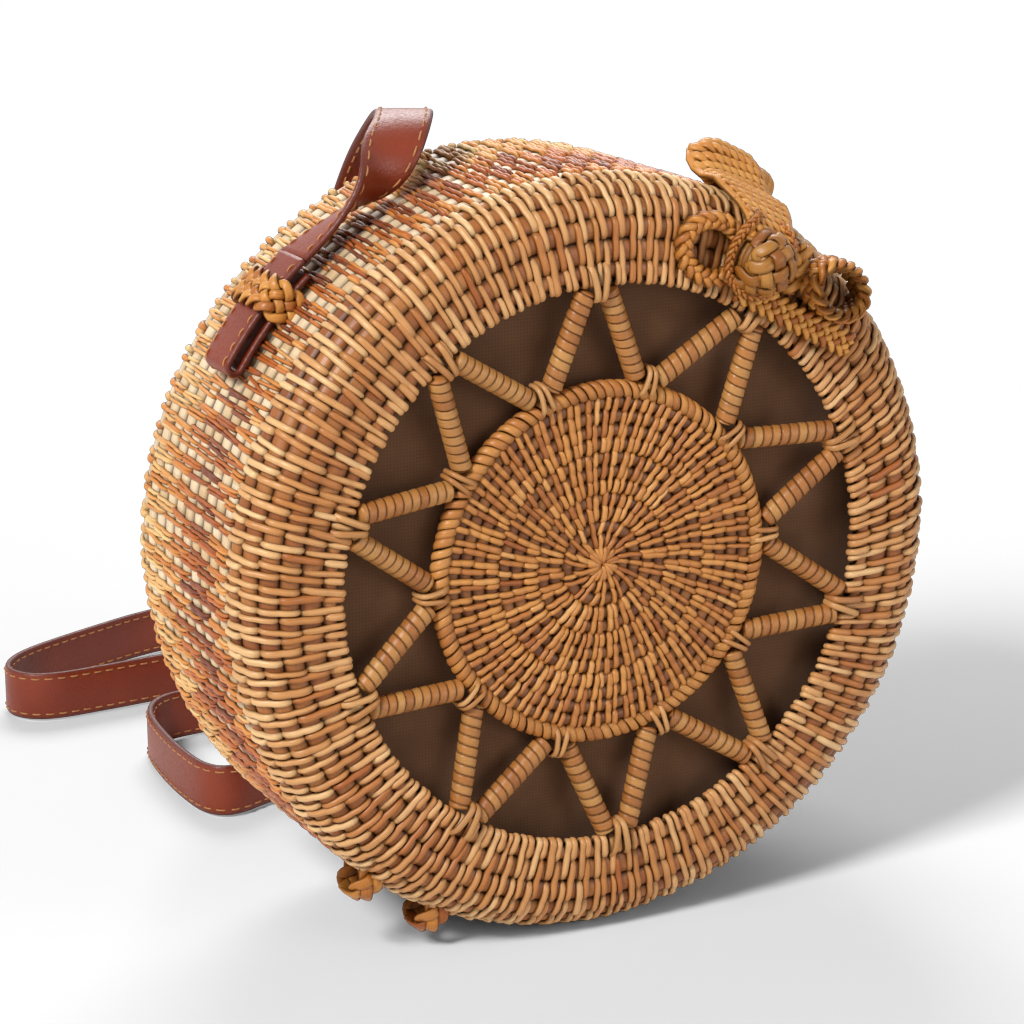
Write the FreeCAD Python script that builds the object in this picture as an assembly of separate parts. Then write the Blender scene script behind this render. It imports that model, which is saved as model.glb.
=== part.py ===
"""Round woven cane shoulder bag: coiled shell, star-front lid on ring hinges, bow closure, leather strap.

The bag stands on its rim as it does on a table. Y is the axis of the drum with the front towards -Y, Z is up,
and the origin is under the middle of the bag, at the floor. All sizes are in millimetres.
"""
import FreeCAD, Part
import math
import os

from FreeCAD import Placement, Rotation, Vector

# Drum
BAG_DIAMETER = 200.0
BAG_DEPTH = 80.0
COIL_WALL = 3.6
COIL_PITCH = 6.2
COIL_GROOVE = 1.4
LID_DEPTH = 14.0
SEAM_GAP = 0.3
FRONT_RIM_RADIUS = 13.0
BACK_RIM_RADIUS = 9.5

# Openwork front
RING_WIDTH = 27.0
STAR_WIDTH = 25.5
MEDALLION_THICKNESS = 4.0
MEDALLION_SETBACK = 3.4
STAR_POINTS = 10
ROD_DIAMETER = 5.2
ROD_PAIR_GAP = 0.6
ROD_RING_ROOM = 2.1
ROD_MEDALLION_ROOM = 2.6
ROD_SEAT_SHARE = 0.5
LASHING_DIAMETER = 1.4
LASHING_SEAT = 0.3
LASHING_REACH = 3.6
LASHING_SPREAD = 2.0

# Cloth lining
CLOTH = 0.8
CLOTH_SEAT = 0.1
CLOTH_ROOM = 0.4
LINING_HEM = 6.5

# Where things sit round the rim, in degrees from +X towards +Z
CLASP_ANGLE = 56.8
KEEPER_FROM_CLASP = 80.7
BOW_FROM_CLASP = 6.7

# Ring hinges
HINGE_RING_RADIUS = 5.6
HINGE_RING_THICKNESS = 1.6
HINGE_RING_WIDTH = 9.0
HINGE_RING_SPACING = 22.0
HINGE_AXIS_LIFT = 0.15
HINGE_CLEARANCE = 0.35

# Bow and closure loop
KNOT_FROM_WINDOW = 13.0
KNOT_NECK_RADIUS = 4.2
KNOT_CAP_RADIUS = 6.6
KNOT_CAP_HEIGHT = 7.0
CAP_WIDEST_SHARE = 0.4
CAP_BACK_SHARE = 0.9
BOW_BASE_HEIGHT = 3.9
BOW_BASE_LENGTH = 21.9
BOW_BASE_SHIFT = 4.5
BOW_BASE_WIDTH = 5.4
BOW_BASE_END_FLAT = 0.4
TAIL_THICKNESS = 1.8
TAIL_WIDTH = 6.5
TAIL_LENGTH = 36.5
TAIL_REST = 2.0
TAIL_BELOW_KNOT = 5.7
TAIL_ROUND = 2.0
LEFT_EAR_SIZE = (20.8, 17.2)
LEFT_EAR_BAND = 3.4
LEFT_EAR_HEIGHT = 3.6
LEFT_EAR_OFFSET = 11.6
LEFT_EAR_DROP = 1.1
LEFT_EAR_ROOM = 0.2
RIGHT_EAR_SIZE = (21.6, 15.2)
RIGHT_EAR_BAND = 3.0
RIGHT_EAR_HEIGHT = 7.0
RIGHT_EAR_OFFSET = 26.6
RIGHT_EAR_RISE = 2.2
LOOP_TUBE_RADIUS = 2.2
LOOP_CLEARANCE = 0.5
LOOP_CORNER_RADIUS = 9.0
LOOP_BAR_BEND = 4.0
LOOP_MOUTH_SHARE = 0.98
ANCHOR_RADIUS = 5.6
ANCHOR_LENGTH = 26.0
ANCHOR_FROM_SEAM = 10.0
ANCHOR_BED = 0.4
LOOP_RUNNING_CLEARANCE = 0.1

# Strap and its keepers
STRAP_WIDTH = 15.0
STRAP_THICKNESS = 2.0
STRAP_BED = 0.4
FOLD_GAP = 1.8
FOLD_REACH = 18.5
TAIL_REACH = 10.0
EXIT_REACH = 11.5
KEEPER_WIDTH = 11.0
KEEPER_THICKNESS = 2.2
KEEPER_CLEARANCE = 0.4
KEEPER_ROUND = 2.0

# The strap's free route, from the left keeper round the floor behind the bag to the right keeper.
# Each point has x, its distance behind the middle of the drum, its height and the way the width points.
STRAP_ROUTE = [
    (-60.0, 0.5, 185.5, (-0.20, -0.98, 0.0)),
    (-47.3, -3.0, 197.1, (-0.90, -0.40, 0.0)),
    (-36.0, 5.0, 211.0, (-0.90, 0.45, 0.0)),
    (-27.0, 25.0, 211.0, (-0.90, 0.45, 0.0)),
    (-27.0, 50.5, 190.0, (-0.95, 0.30, 0.0)),
    (-33.0, 62.0, 152.0, (-1.0, 0.0, 0.0)),
    (-42.0, 82.0, 106.0, (-1.0, 0.0, 0.0)),
    (-38.0, 112.0, 62.0, (-1.0, 0.1, 0.0)),
    (-12.0, 145.0, 31.0, (-0.9, 0.4, 0.1)),
    (22.0, 181.0, 14.0, (-0.7, 0.6, 0.4)),
    (36.0, 215.0, 9.0, (-0.4, 0.2, 0.9)),
    (20.0, 242.0, 8.0, (0.0, 0.0, 1.0)),
    (-20.0, 241.0, 8.0, (0.0, 0.0, 1.0)),
    (-57.0, 225.0, 8.0, (0.0, 0.0, 1.0)),
    (-80.0, 213.0, 8.0, (0.0, 0.0, 1.0)),
    (-88.0, 199.0, 8.0, (0.0, 0.0, 1.0)),
    (-80.0, 187.0, 8.0, (0.0, 0.0, 1.0)),
    (-58.0, 188.5, 8.0, (0.0, 0.0, 1.0)),
    (-26.0, 192.0, 8.0, (0.0, 0.0, 1.0)),
    (0.0, 187.0, 8.0, (0.0, 0.0, 1.0)),
    (6.0, 167.0, 8.0, (0.0, 0.0, 1.0)),
    (-10.0, 153.0, 8.0, (0.0, 0.0, 1.0)),
    (-36.0, 156.0, 8.0, (0.0, 0.0, 1.0)),
    (-60.0, 151.0, 8.0, (0.0, 0.0, 1.0)),
    (-65.0, 112.0, 8.0, (0.0, 0.0, 1.0)),
    (-62.5, 79.0, 8.0, (0.0, 0.0, 1.0)),
    (-36.0, 93.0, 8.0, (0.0, 0.0, 1.0)),
    (6.0, 90.0, 7.8, (0.0, 0.5, 0.87)),
    (48.0, 94.0, 7.0, (-0.2, 0.9, 0.3)),
    (72.0, 93.0, 26.0, (0.1, 1.0, -0.1)),
    (87.0, 79.0, 58.0, (0.6, 0.8, 0.0)),
    (100.0, 59.0, 91.0, (0.95, 0.3, 0.0)),
    (111.0, 37.0, 111.0, (1.0, 0.2, 0.0)),
    (113.0, 13.0, 103.0, (0.85, 0.5, 0.0)),
    (106.0, 3.0, 86.0, (0.35, 0.93, 0.0)),
]
ARC_SHARE = 0.45
ARC_STEP = 25.0
TWIST_SHARE = 0.8

# Sizes worked out from the ones above
R = BAG_DIAMETER / 2
FRONT = -BAG_DEPTH / 2
BACK = BAG_DEPTH / 2
SEAM = FRONT + LID_DEPTH
ROD_RADIUS = ROD_DIAMETER / 2
LASHING_RADIUS = LASHING_DIAMETER / 2
RING_BACK = FRONT + COIL_WALL
WINDOW_RADIUS = R - RING_WIDTH
MEDALLION_RADIUS = WINDOW_RADIUS - STAR_WIDTH
KNOT_RADIUS_FROM_AXIS = WINDOW_RADIUS + KNOT_FROM_WINDOW
HINGE_ANGLE = CLASP_ANGLE + 180
BOW_ANGLE = CLASP_ANGLE + BOW_FROM_CLASP
LEFT_KEEPER_ANGLE = CLASP_ANGLE + KEEPER_FROM_CLASP
RIGHT_KEEPER_ANGLE = CLASP_ANGLE - KEEPER_FROM_CLASP
BASE_FACE = FRONT - BOW_BASE_HEIGHT
LOOP_LEVEL = BASE_FACE - LOOP_CLEARANCE - LOOP_TUBE_RADIUS
CAP_BACK = LOOP_LEVEL - LOOP_TUBE_RADIUS - LOOP_CLEARANCE
CAP_FRONT = CAP_BACK - KNOT_CAP_HEIGHT
INNER_STRAP = R + STRAP_BED
OUTER_STRAP = INNER_STRAP + STRAP_THICKNESS + FOLD_GAP
STRAP_TOP = OUTER_STRAP + STRAP_THICKNESS

# The middle of the whole depth, bow to back, stands over the origin
MIDDLE = Vector(0, -(CAP_FRONT + BACK) / 2, R)


def place(shape, angle=0.0):
    """Carry a shape from the drum's own frame (X outward, Y along the axis) to its place round the rim."""
    moved = shape.copy()
    moved.Placement = Placement(MIDDLE, Rotation(Vector(0, 1, 0), -angle)).multiply(shape.Placement)
    return moved


def outline(start, *moves):
    """A closed wire in the XY plane: a point makes a line, and a pair of points an arc through the first."""
    edges = []
    here = Vector(*start, 0)
    for move in moves + (start,):
        if isinstance(move[0], tuple):
            middle, end = (Vector(*point, 0) for point in move)
            edges.append(Part.Arc(here, middle, end).toShape())
        else:
            end = Vector(*move, 0)
            if end.distanceToPoint(here) < 1e-7:
                continue
            edges.append(Part.LineSegment(here, end).toShape())
        here = end
    return Part.Wire(edges)


def turned(start, *moves):
    """A solid of revolution about the drum's axis from a profile of radius and depth."""
    return Part.Face(outline(start, *moves)).revolve(Vector(0, 0, 0), Vector(0, 1, 0), 360)


def corner(centre, radius, degrees):
    """The point of a rounded corner at an angle, from its centre."""
    angle = math.radians(degrees)
    return (centre[0] + radius * math.cos(angle), centre[1] + radius * math.sin(angle))


def disc(radius, low, high):
    """A flat round plate across the drum's axis, between two depths."""
    return Part.makeCylinder(radius, high - low, Vector(0, low, 0), Vector(0, 1, 0))


def bar(start, end, radius):
    """A round bar between two points."""
    along = end - start
    return Part.makeCylinder(radius, along.Length, start, along)


def rim_point(radius, angle, depth):
    """A point in the drum's frame, at an angle from the frame's own X axis."""
    turn = math.radians(angle)
    return Vector(radius * math.cos(turn), depth, radius * math.sin(turn))


def hinge_bands(grow):
    """Both ring hinges in the hinge's frame, grown on every face to cut their slots."""
    width = HINGE_RING_WIDTH + 2 * grow
    bands = []
    for side in (-1, 1):
        middle = side * HINGE_RING_SPACING / 2
        start = Vector(R + HINGE_AXIS_LIFT, SEAM, middle - width / 2)
        outer = Part.makeCylinder(HINGE_RING_RADIUS + grow, width, start)
        inner = Part.makeCylinder(HINGE_RING_RADIUS - HINGE_RING_THICKNESS - grow, width, start)
        bands.append(outer.cut(inner))
    return bands


def cut_hinge_slots(shape):
    """Open the slots that the ring hinges pass through."""
    for band in hinge_bands(HINGE_CLEARANCE):
        shape = shape.cut(place(band, HINGE_ANGLE))
    return shape


def coil_rows(start, end, crest):
    """Moves of an outline over rows of coil: each row an arc from groove to groove through its crest."""
    rows = round(abs(end - start) / COIL_PITCH)
    pitch = (end - start) / rows
    edges = [start + row * pitch for row in range(rows + 1)]
    return [(crest((low + high) / 2, 0), crest(high, COIL_GROOVE)) for low, high in zip(edges, edges[1:])]


def make_shell():
    """The back half: side wall, the rim that turns it in, the back panel and the cloth lining."""
    back_edge = BACK - BACK_RIM_RADIUS
    back_corner = (R - BACK_RIM_RADIUS, back_edge)
    inside_radius = BACK_RIM_RADIUS - COIL_WALL
    wall_start = SEAM + SEAM_GAP / 2
    wall_rows = coil_rows(wall_start, back_edge, lambda depth, low: (R - low, depth))
    wall = turned(
        (R - COIL_WALL, wall_start),
        (R - COIL_GROOVE, wall_start),
        *wall_rows,
        (R - COIL_WALL, back_edge),
    )
    rim = turned(
        (R - BACK_RIM_RADIUS, BACK),
        (corner(back_corner, BACK_RIM_RADIUS, 45), (R, back_edge)),
        (R - COIL_WALL, back_edge),
        (corner(back_corner, inside_radius, 45), (R - BACK_RIM_RADIUS, BACK - COIL_WALL)),
    )
    panel_edge = R - BACK_RIM_RADIUS
    panel_rows = coil_rows(panel_edge, COIL_PITCH, lambda radius, low: (radius, BACK - low))
    panel = turned(
        (0, BACK - COIL_WALL),
        (panel_edge, BACK - COIL_WALL),
        (panel_edge, BACK - COIL_GROOVE),
        *panel_rows,
        (COIL_PITCH - COIL_GROOVE, BACK),
        (0, BACK),
    )
    cloth_outside = R - COIL_WALL - CLOTH_SEAT
    lining_wall = turned(
        (cloth_outside - CLOTH, SEAM + LINING_HEM),
        (cloth_outside, SEAM + LINING_HEM),
        (cloth_outside, back_edge),
        (cloth_outside - CLOTH, back_edge),
    )
    base_back = BACK - COIL_WALL - CLOTH_SEAT
    lining_base = disc(panel_edge, base_back - CLOTH, base_back)
    return {
        "barrel_wall": cut_hinge_slots(place(wall)),
        "back_rim": place(rim),
        "back_panel": place(panel),
        "body_lining_wall": place(lining_wall),
        "body_lining_base": place(lining_base),
    }


def make_hinge_rings():
    """Two plaited rings that run through both edges of the seam."""
    rings = hinge_bands(0)
    return {f"hinge_ring_{number}": place(ring, HINGE_ANGLE) for number, ring in enumerate(rings, 1)}


def make_lid_ring():
    """The lid's rounded rim and flat front ring, open in the middle."""
    rim_centre = (R - FRONT_RIM_RADIUS, FRONT + FRONT_RIM_RADIUS)
    inside_radius = FRONT_RIM_RADIUS - COIL_WALL
    edge_start = WINDOW_RADIUS + COIL_WALL / 2
    seam_face = SEAM - SEAM_GAP / 2
    ring = turned(
        (R, seam_face),
        (R, rim_centre[1]),
        (corner(rim_centre, FRONT_RIM_RADIUS, -45), (rim_centre[0], FRONT)),
        (edge_start, FRONT),
        ((WINDOW_RADIUS, FRONT + COIL_WALL / 2), (edge_start, RING_BACK)),
        (rim_centre[0], RING_BACK),
        (corner(rim_centre, inside_radius, -45), (R - COIL_WALL, rim_centre[1])),
        (R - COIL_WALL, seam_face),
    )
    return {"lid_ring": cut_hinge_slots(place(ring))}


def make_star():
    """Twenty wrapped rods in a zigzag between the ring and the medallion, with a lashing at every point."""
    step = 360.0 / STAR_POINTS
    aside = ROD_RADIUS + ROD_PAIR_GAP / 2
    outer_radius = WINDOW_RADIUS - ROD_RING_ROOM
    inner_radius = MEDALLION_RADIUS + ROD_MEDALLION_ROOM
    medallion_front = FRONT + MEDALLION_SETBACK
    medallion_back = medallion_front + MEDALLION_THICKNESS
    outer_level = FRONT + COIL_WALL / 2
    inner_level = medallion_front + ROD_SEAT_SHARE * MEDALLION_THICKNESS
    nodes = {}
    outer_lashings = []
    inner_lashings = []
    for point in range(STAR_POINTS):
        angle = CLASP_ANGLE + point * step
        for side in (-1, 1):
            start = rim_point(outer_radius, math.degrees(side * aside / outer_radius), outer_level)
            inner_turn = side * (step / 2 - math.degrees(aside / inner_radius))
            end = rim_point(inner_radius, inner_turn, inner_level)
            number = 2 * point + (1 if side < 0 else 2)
            nodes[f"star_rod_{number:02d}"] = place(bar(start, end, ROD_RADIUS), angle)
        outer = lashing(WINDOW_RADIUS - 2 * ROD_RADIUS, WINDOW_RADIUS + LASHING_REACH, FRONT, RING_BACK)
        inner_leg = MEDALLION_RADIUS + 2 * ROD_RADIUS
        inner_front = inner_level - ROD_RADIUS
        inner = lashing(inner_leg, MEDALLION_RADIUS - LASHING_REACH, inner_front, medallion_back)
        outer_lashings.append(place(outer, angle))
        inner_lashings.append(place(inner, angle + step / 2))
    nodes["outer_lashings"] = Part.makeCompound(outer_lashings)
    nodes["inner_lashings"] = Part.makeCompound(inner_lashings)
    edge = MEDALLION_RADIUS - MEDALLION_THICKNESS / 2
    middle = medallion_front + MEDALLION_THICKNESS / 2
    medallion = turned(
        (0, medallion_front),
        (edge, medallion_front),
        ((MEDALLION_RADIUS, middle), (edge, medallion_back)),
        (0, medallion_back),
    )
    nodes["medallion"] = place(medallion)
    return nodes


def lashing(leg_radius, arm_radius, front, back):
    """A cane lashing: a leg through the star's fork, with two arms in front of the coil and two behind it."""
    front_level = front - LASHING_SEAT - LASHING_RADIUS
    back_level = back + LASHING_SEAT + LASHING_RADIUS
    shape = bar(Vector(leg_radius, front_level, 0), Vector(leg_radius, back_level, 0), LASHING_RADIUS)
    for level in (front_level, back_level):
        root = Vector(leg_radius, level, 0)
        shape = shape.fuse(Part.makeSphere(LASHING_RADIUS, root))
        for side in (-1, 1):
            shape = shape.fuse(bar(root, Vector(arm_radius, level, side * LASHING_SPREAD), LASHING_RADIUS))
    return shape.removeSplitter()


def make_lid_lining():
    """The brown cloth behind the star, stretched across the inside of the lid."""
    rim_centre = (R - FRONT_RIM_RADIUS, FRONT + FRONT_RIM_RADIUS)
    front = FRONT + MEDALLION_SETBACK + MEDALLION_THICKNESS + LASHING_SEAT + LASHING_DIAMETER + CLOTH_ROOM
    inside = FRONT_RIM_RADIUS - COIL_WALL
    reach = rim_centre[0] + math.sqrt(inside**2 - (rim_centre[1] - front) ** 2)
    return {"lid_lining": place(disc(reach - LASHING_SEAT, front, front + CLOTH))}


def racetrack(half_length, half_width):
    """A flat oval face across the drum's axis: two half rounds joined by straight sides."""
    straight = half_length - half_width
    turns = ((1, 1), (1, -1), (-1, -1), (-1, 1))
    ends = [Vector(side * half_width, 0, way * straight) for side, way in turns]
    tips = [Vector(0, 0, -half_length), Vector(0, 0, half_length)]
    return Part.Face(
        Part.Wire(
            [
                Part.LineSegment(ends[0], ends[1]).toShape(),
                Part.Arc(ends[1], tips[0], ends[2]).toShape(),
                Part.LineSegment(ends[2], ends[3]).toShape(),
                Part.Arc(ends[3], tips[1], ends[0]).toShape(),
            ]
        )
    )


def ear(size, band, height, outward, along):
    """One loop of the bow: a plaited band standing on its edge, bent round to an oval."""
    half_length, half_width = (side / 2 for side in size)
    ring = racetrack(half_length, half_width).cut(racetrack(half_length - band, half_width - band))
    ring = ring.extrude(Vector(0, -height, 0))
    ring.translate(Vector(outward, FRONT - LASHING_SEAT, along))
    return ring


def base_block(grow):
    """The bow's base pad before its ends are rounded, grown on every side but its back."""
    return Part.makeBox(
        BOW_BASE_WIDTH + 2 * grow,
        BOW_BASE_HEIGHT + grow,
        BOW_BASE_LENGTH + 2 * grow,
        Vector(
            KNOT_RADIUS_FROM_AXIS - BOW_BASE_WIDTH / 2 - grow,
            BASE_FACE - grow,
            -BOW_BASE_SHIFT - BOW_BASE_LENGTH / 2 - grow,
        ),
    )


def make_bow():
    """The bow on the lid: base pad, knot, two ears and the tail across below the knot."""
    base = base_block(0)
    end_round = (BOW_BASE_WIDTH - BOW_BASE_END_FLAT) / 2
    base = base.makeFillet(end_round, [edge for edge in base.Edges if is_along_depth(edge)])
    cap_widest = CAP_BACK - CAP_WIDEST_SHARE * KNOT_CAP_HEIGHT
    cap_rise = cap_widest - CAP_FRONT
    cap_round = (KNOT_CAP_RADIUS**2 + cap_rise**2) / (2 * cap_rise)
    half_way = math.asin(KNOT_CAP_RADIUS / cap_round) / 2
    crown = (cap_round * math.sin(half_way), CAP_FRONT + cap_round * (1 - math.cos(half_way)))
    knot = turned(
        (0, BASE_FACE),
        (KNOT_NECK_RADIUS, BASE_FACE),
        (KNOT_NECK_RADIUS, CAP_BACK),
        (CAP_BACK_SHARE * KNOT_CAP_RADIUS, CAP_BACK),
        (KNOT_CAP_RADIUS, cap_widest),
        (crown, (0, CAP_FRONT)),
    )
    knot.translate(Vector(KNOT_RADIUS_FROM_AXIS, 0, 0))
    tail = Part.makeBox(
        TAIL_WIDTH,
        TAIL_THICKNESS,
        TAIL_LENGTH,
        Vector(KNOT_RADIUS_FROM_AXIS - TAIL_BELOW_KNOT - TAIL_WIDTH, BASE_FACE, -TAIL_REST - TAIL_LENGTH),
    )
    tail = tail.makeFillet(TAIL_ROUND, [edge for edge in tail.Edges if is_along_depth(edge)])
    left_out = KNOT_RADIUS_FROM_AXIS - LEFT_EAR_DROP
    left_ear = ear(LEFT_EAR_SIZE, LEFT_EAR_BAND, LEFT_EAR_HEIGHT, left_out, LEFT_EAR_OFFSET)
    right_out = KNOT_RADIUS_FROM_AXIS + RIGHT_EAR_RISE
    right_ear = ear(RIGHT_EAR_SIZE, RIGHT_EAR_BAND, RIGHT_EAR_HEIGHT, right_out, -RIGHT_EAR_OFFSET)
    return {
        "bow_base": place(base, BOW_ANGLE),
        "bow_knot": place(knot, BOW_ANGLE),
        "bow_tail": place(tail, BOW_ANGLE),
        "bow_ear_left": place(left_ear.cut(base_block(LEFT_EAR_ROOM)), BOW_ANGLE),
        "bow_ear_right": place(right_ear, BOW_ANGLE),
    }


def is_along_depth(edge):
    """True for a straight edge along the drum's axis."""
    return abs(abs(edge.tangentAt(edge.FirstParameter).y) - 1) < 1e-6


def joined(pieces):
    """One solid from pieces that meet face to face."""
    return pieces[0].multiFuse(pieces[1:]).removeSplitter()


def bend(before, point, after, radius):
    """The arc that rounds a corner: its centre, its ends, the axis it turns about and its angle."""
    back = (before - point).normalize()
    ahead = (after - point).normalize()
    half = back.getAngle(ahead) / 2
    reach = radius / math.tan(half)
    centre = point + (back + ahead).normalize() * (radius / math.sin(half))
    axis = ahead.cross(back).normalize()
    return centre, point + back * reach, point + ahead * reach, axis, 180 - math.degrees(2 * half)


def round_tube(points, radii, tube_radius):
    """A round tube along straight runs joined by tangent arcs, with one radius for each inner point."""
    pieces = []
    here = points[0]
    for before, point, after, radius in zip(points, points[1:], points[2:], radii):
        centre, start, end, axis, angle = bend(before, point, after, radius)
        section = Part.Face(Part.Wire(Part.makeCircle(tube_radius, start, point - before)))
        if (start - here).Length > 1e-6:
            pieces.append(bar(here, start, tube_radius))
        pieces.append(section.revolve(centre, axis, angle))
        here = end
    pieces.append(bar(here, points[-1], tube_radius))
    return joined(pieces)


def make_closure():
    """The plaited roll behind the seam and the long loop that runs through it and over the bow's knot."""
    pivot_depth = SEAM + ANCHOR_FROM_SEAM
    pivot_radius = R + ANCHOR_RADIUS - ANCHOR_BED
    half = ANCHOR_LENGTH / 2
    roll = Part.makeCylinder(ANCHOR_RADIUS, ANCHOR_LENGTH, Vector(pivot_radius, pivot_depth, -half))
    bore_radius = LOOP_TUBE_RADIUS + LOOP_RUNNING_CLEARANCE
    bore = Part.makeCylinder(bore_radius, ANCHOR_LENGTH, Vector(pivot_radius, pivot_depth, -half))
    drum = disc(R + LASHING_SEAT / 2, FRONT, BACK)
    roll = roll.cut(bore).cut(drum)

    bar_half = half + LOOP_BAR_BEND + LOOP_CLEARANCE
    grip = KNOT_NECK_RADIUS + LOOP_CLEARANCE + LOOP_TUBE_RADIUS
    crest = R + LOOP_TUBE_RADIUS + 2 * LOOP_CLEARANCE
    bar_middle = Vector(pivot_radius, pivot_depth, 0)
    left_leg = [
        Vector(pivot_radius, pivot_depth, bar_half),
        Vector(crest, LOOP_LEVEL, (bar_half + grip) / 2),
        Vector(KNOT_RADIUS_FROM_AXIS - grip, LOOP_LEVEL, grip),
    ]
    right_leg = [Vector(point.x, point.y, -point.z) for point in reversed(left_leg)]
    points = [bar_middle] + left_leg + right_leg + [bar_middle]
    mouth_round = LOOP_MOUTH_SHARE * grip
    radii = [LOOP_BAR_BEND, LOOP_CORNER_RADIUS, mouth_round, mouth_round, LOOP_CORNER_RADIUS, LOOP_BAR_BEND]
    loop = round_tube(points, radii, LOOP_TUBE_RADIUS)
    return {
        "closure_anchor": place(roll, BOW_ANGLE),
        "closure_loop": place(loop, BOW_ANGLE),
    }


def polar(radius, arc_length):
    """A point at a radius and a distance along the drum's surface from the frame's X axis."""
    angle = arc_length / R
    return Vector(radius * math.cos(angle), 0, radius * math.sin(angle))


def arc_along(radius, start, end):
    """An arc about the drum's axis between two distances along its surface."""
    return Part.Arc(polar(radius, start), polar(radius, (start + end) / 2), polar(radius, end)).toShape()


def strap_end(side):
    """A strap end folded under its keeper; side is 1 where the fold points anticlockwise round the rim."""
    fold = side * FOLD_REACH
    tail = -side * TAIL_REACH
    leave = -side * EXIT_REACH
    middle = (INNER_STRAP + STRAP_TOP) / 2
    nose = fold + side * (STRAP_TOP - INNER_STRAP) / 2
    crook = fold + side * FOLD_GAP / 2
    inside = INNER_STRAP + STRAP_THICKNESS
    wire = Part.Wire(
        [
            arc_along(STRAP_TOP, leave, fold),
            Part.Arc(polar(STRAP_TOP, fold), polar(middle, nose), polar(INNER_STRAP, fold)).toShape(),
            arc_along(INNER_STRAP, fold, tail),
            Part.LineSegment(polar(INNER_STRAP, tail), polar(inside, tail)).toShape(),
            arc_along(inside, tail, fold),
            Part.Arc(polar(inside, fold), polar(middle, crook), polar(OUTER_STRAP, fold)).toShape(),
            arc_along(OUTER_STRAP, fold, leave),
            Part.LineSegment(polar(OUTER_STRAP, leave), polar(STRAP_TOP, leave)).toShape(),
        ]
    )
    band = Part.Face(wire).extrude(Vector(0, STRAP_WIDTH, 0))
    band.translate(Vector(0, -STRAP_WIDTH / 2, 0))
    return band


def keeper():
    """A plaited bridge over the strap, with its two feet on the drum."""
    clear = STRAP_WIDTH / 2 + KEEPER_CLEARANCE
    outside = clear + KEEPER_THICKNESS
    ceiling = STRAP_TOP + KEEPER_CLEARANCE
    low = R - COIL_WALL
    block = Part.makeBox(
        ceiling + KEEPER_THICKNESS - low, 2 * outside, KEEPER_WIDTH, Vector(low, -outside, -KEEPER_WIDTH / 2)
    )
    top = ceiling + KEEPER_THICKNESS
    rounded = [e for e in block.Edges if e.BoundBox.XLength < 1e-6 and e.BoundBox.YLength < 1e-6]
    rounded = [e for e in rounded if abs(e.BoundBox.XMax - top) < 1e-6]
    block = block.makeFillet(KEEPER_ROUND, rounded)
    tunnel = Part.makeBox(ceiling - low, 2 * clear, KEEPER_WIDTH, Vector(low, -clear, -KEEPER_WIDTH / 2))
    return block.cut(tunnel).cut(disc(R + CLOTH_SEAT, FRONT, BACK))


def strap_exit(angle, side):
    """Where the free strap leaves its folded end: the middle of the end's face, and the way it points."""
    leave = -side * EXIT_REACH
    turn = math.radians(angle) + leave / R
    radius = OUTER_STRAP + STRAP_THICKNESS / 2
    point = MIDDLE + Vector(radius * math.cos(turn), 0, radius * math.sin(turn))
    return point, Vector(side * math.sin(turn), 0, -side * math.cos(turn))


def strap_section(point, ahead, width_way):
    """The four corners of the strap at a point of its route, square to the way it runs."""
    across = (width_way - ahead * width_way.dot(ahead)).normalize()
    up = ahead.cross(across)
    side = across * (STRAP_WIDTH / 2)
    face = up * (STRAP_THICKNESS / 2)
    return [point - side - face, point + side - face, point + side + face, point - side + face]


def band_solid(sections):
    """A solid band through four-cornered sections, with flat triangles for its twisted sides."""
    faces = []
    for here, there in zip(sections, sections[1:]):
        for corner_index in range(4):
            beside = (corner_index + 1) % 4
            a, b, c, d = here[corner_index], here[beside], there[beside], there[corner_index]
            for triangle in ((a, b, c), (a, c, d)):
                faces.append(Part.Face(Part.makePolygon(list(triangle) + [triangle[0]])))
    for end in (sections[0], sections[-1]):
        faces.append(Part.Face(Part.makePolygon(end + [end[0]])))
    return Part.Solid(Part.Shell(faces))


def make_free_strap():
    """The free strap: a flat band along straight runs joined by wide arcs, turning as its width turns."""
    first, first_ahead = strap_exit(LEFT_KEEPER_ANGLE, 1)
    last, last_ahead = strap_exit(RIGHT_KEEPER_ANGLE, -1)
    behind = Vector(0, MIDDLE.y, 0)
    points = [first] + [Vector(x, y, z) + behind for x, y, z, _ in STRAP_ROUTE] + [last]
    ways = [Vector(0, -1, 0)] + [Vector(*way) for _, _, _, way in STRAP_ROUTE] + [Vector(0, 1, 0)]
    stations = [(first, first_ahead, ways[0])]
    radii = []
    for number in range(1, len(points) - 1):
        before, point, after = points[number - 1 : number + 2]
        shorter = min((before - point).Length, (after - point).Length)
        half = (before - point).getAngle(after - point) / 2
        radius = ARC_SHARE * shorter * math.tan(half)
        radii.append(radius)
        centre, start, _, axis, angle = bend(before, point, after, radius)
        ahead = (point - before).normalize()
        steps = max(2, math.ceil(angle / ARC_STEP))
        for step in range(steps + 1):
            turn = Rotation(axis, angle * step / steps)
            share = TWIST_SHARE * (step / steps - 0.5)
            neighbour = ways[number + 1] if share > 0 else ways[number - 1]
            way = ways[number] * (1 - abs(share)) + neighbour * abs(share)
            stations.append((centre + turn.multVec(start - centre), turn.multVec(ahead), way))
    stations.append((last, last_ahead * -1, ways[-1]))
    band = band_solid([strap_section(*station) for station in stations])
    length = sum((there[0] - here[0]).Length for here, there in zip(stations, stations[1:]))
    share = band.Volume / (length * STRAP_WIDTH * STRAP_THICKNESS)
    print(f"strap: {length:.0f} mm free, {share:.3f} of its section times its length")
    print("strap bend radii:", " ".join(f"{radius:.0f}" for radius in radii))
    return {"strap": band}


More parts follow.
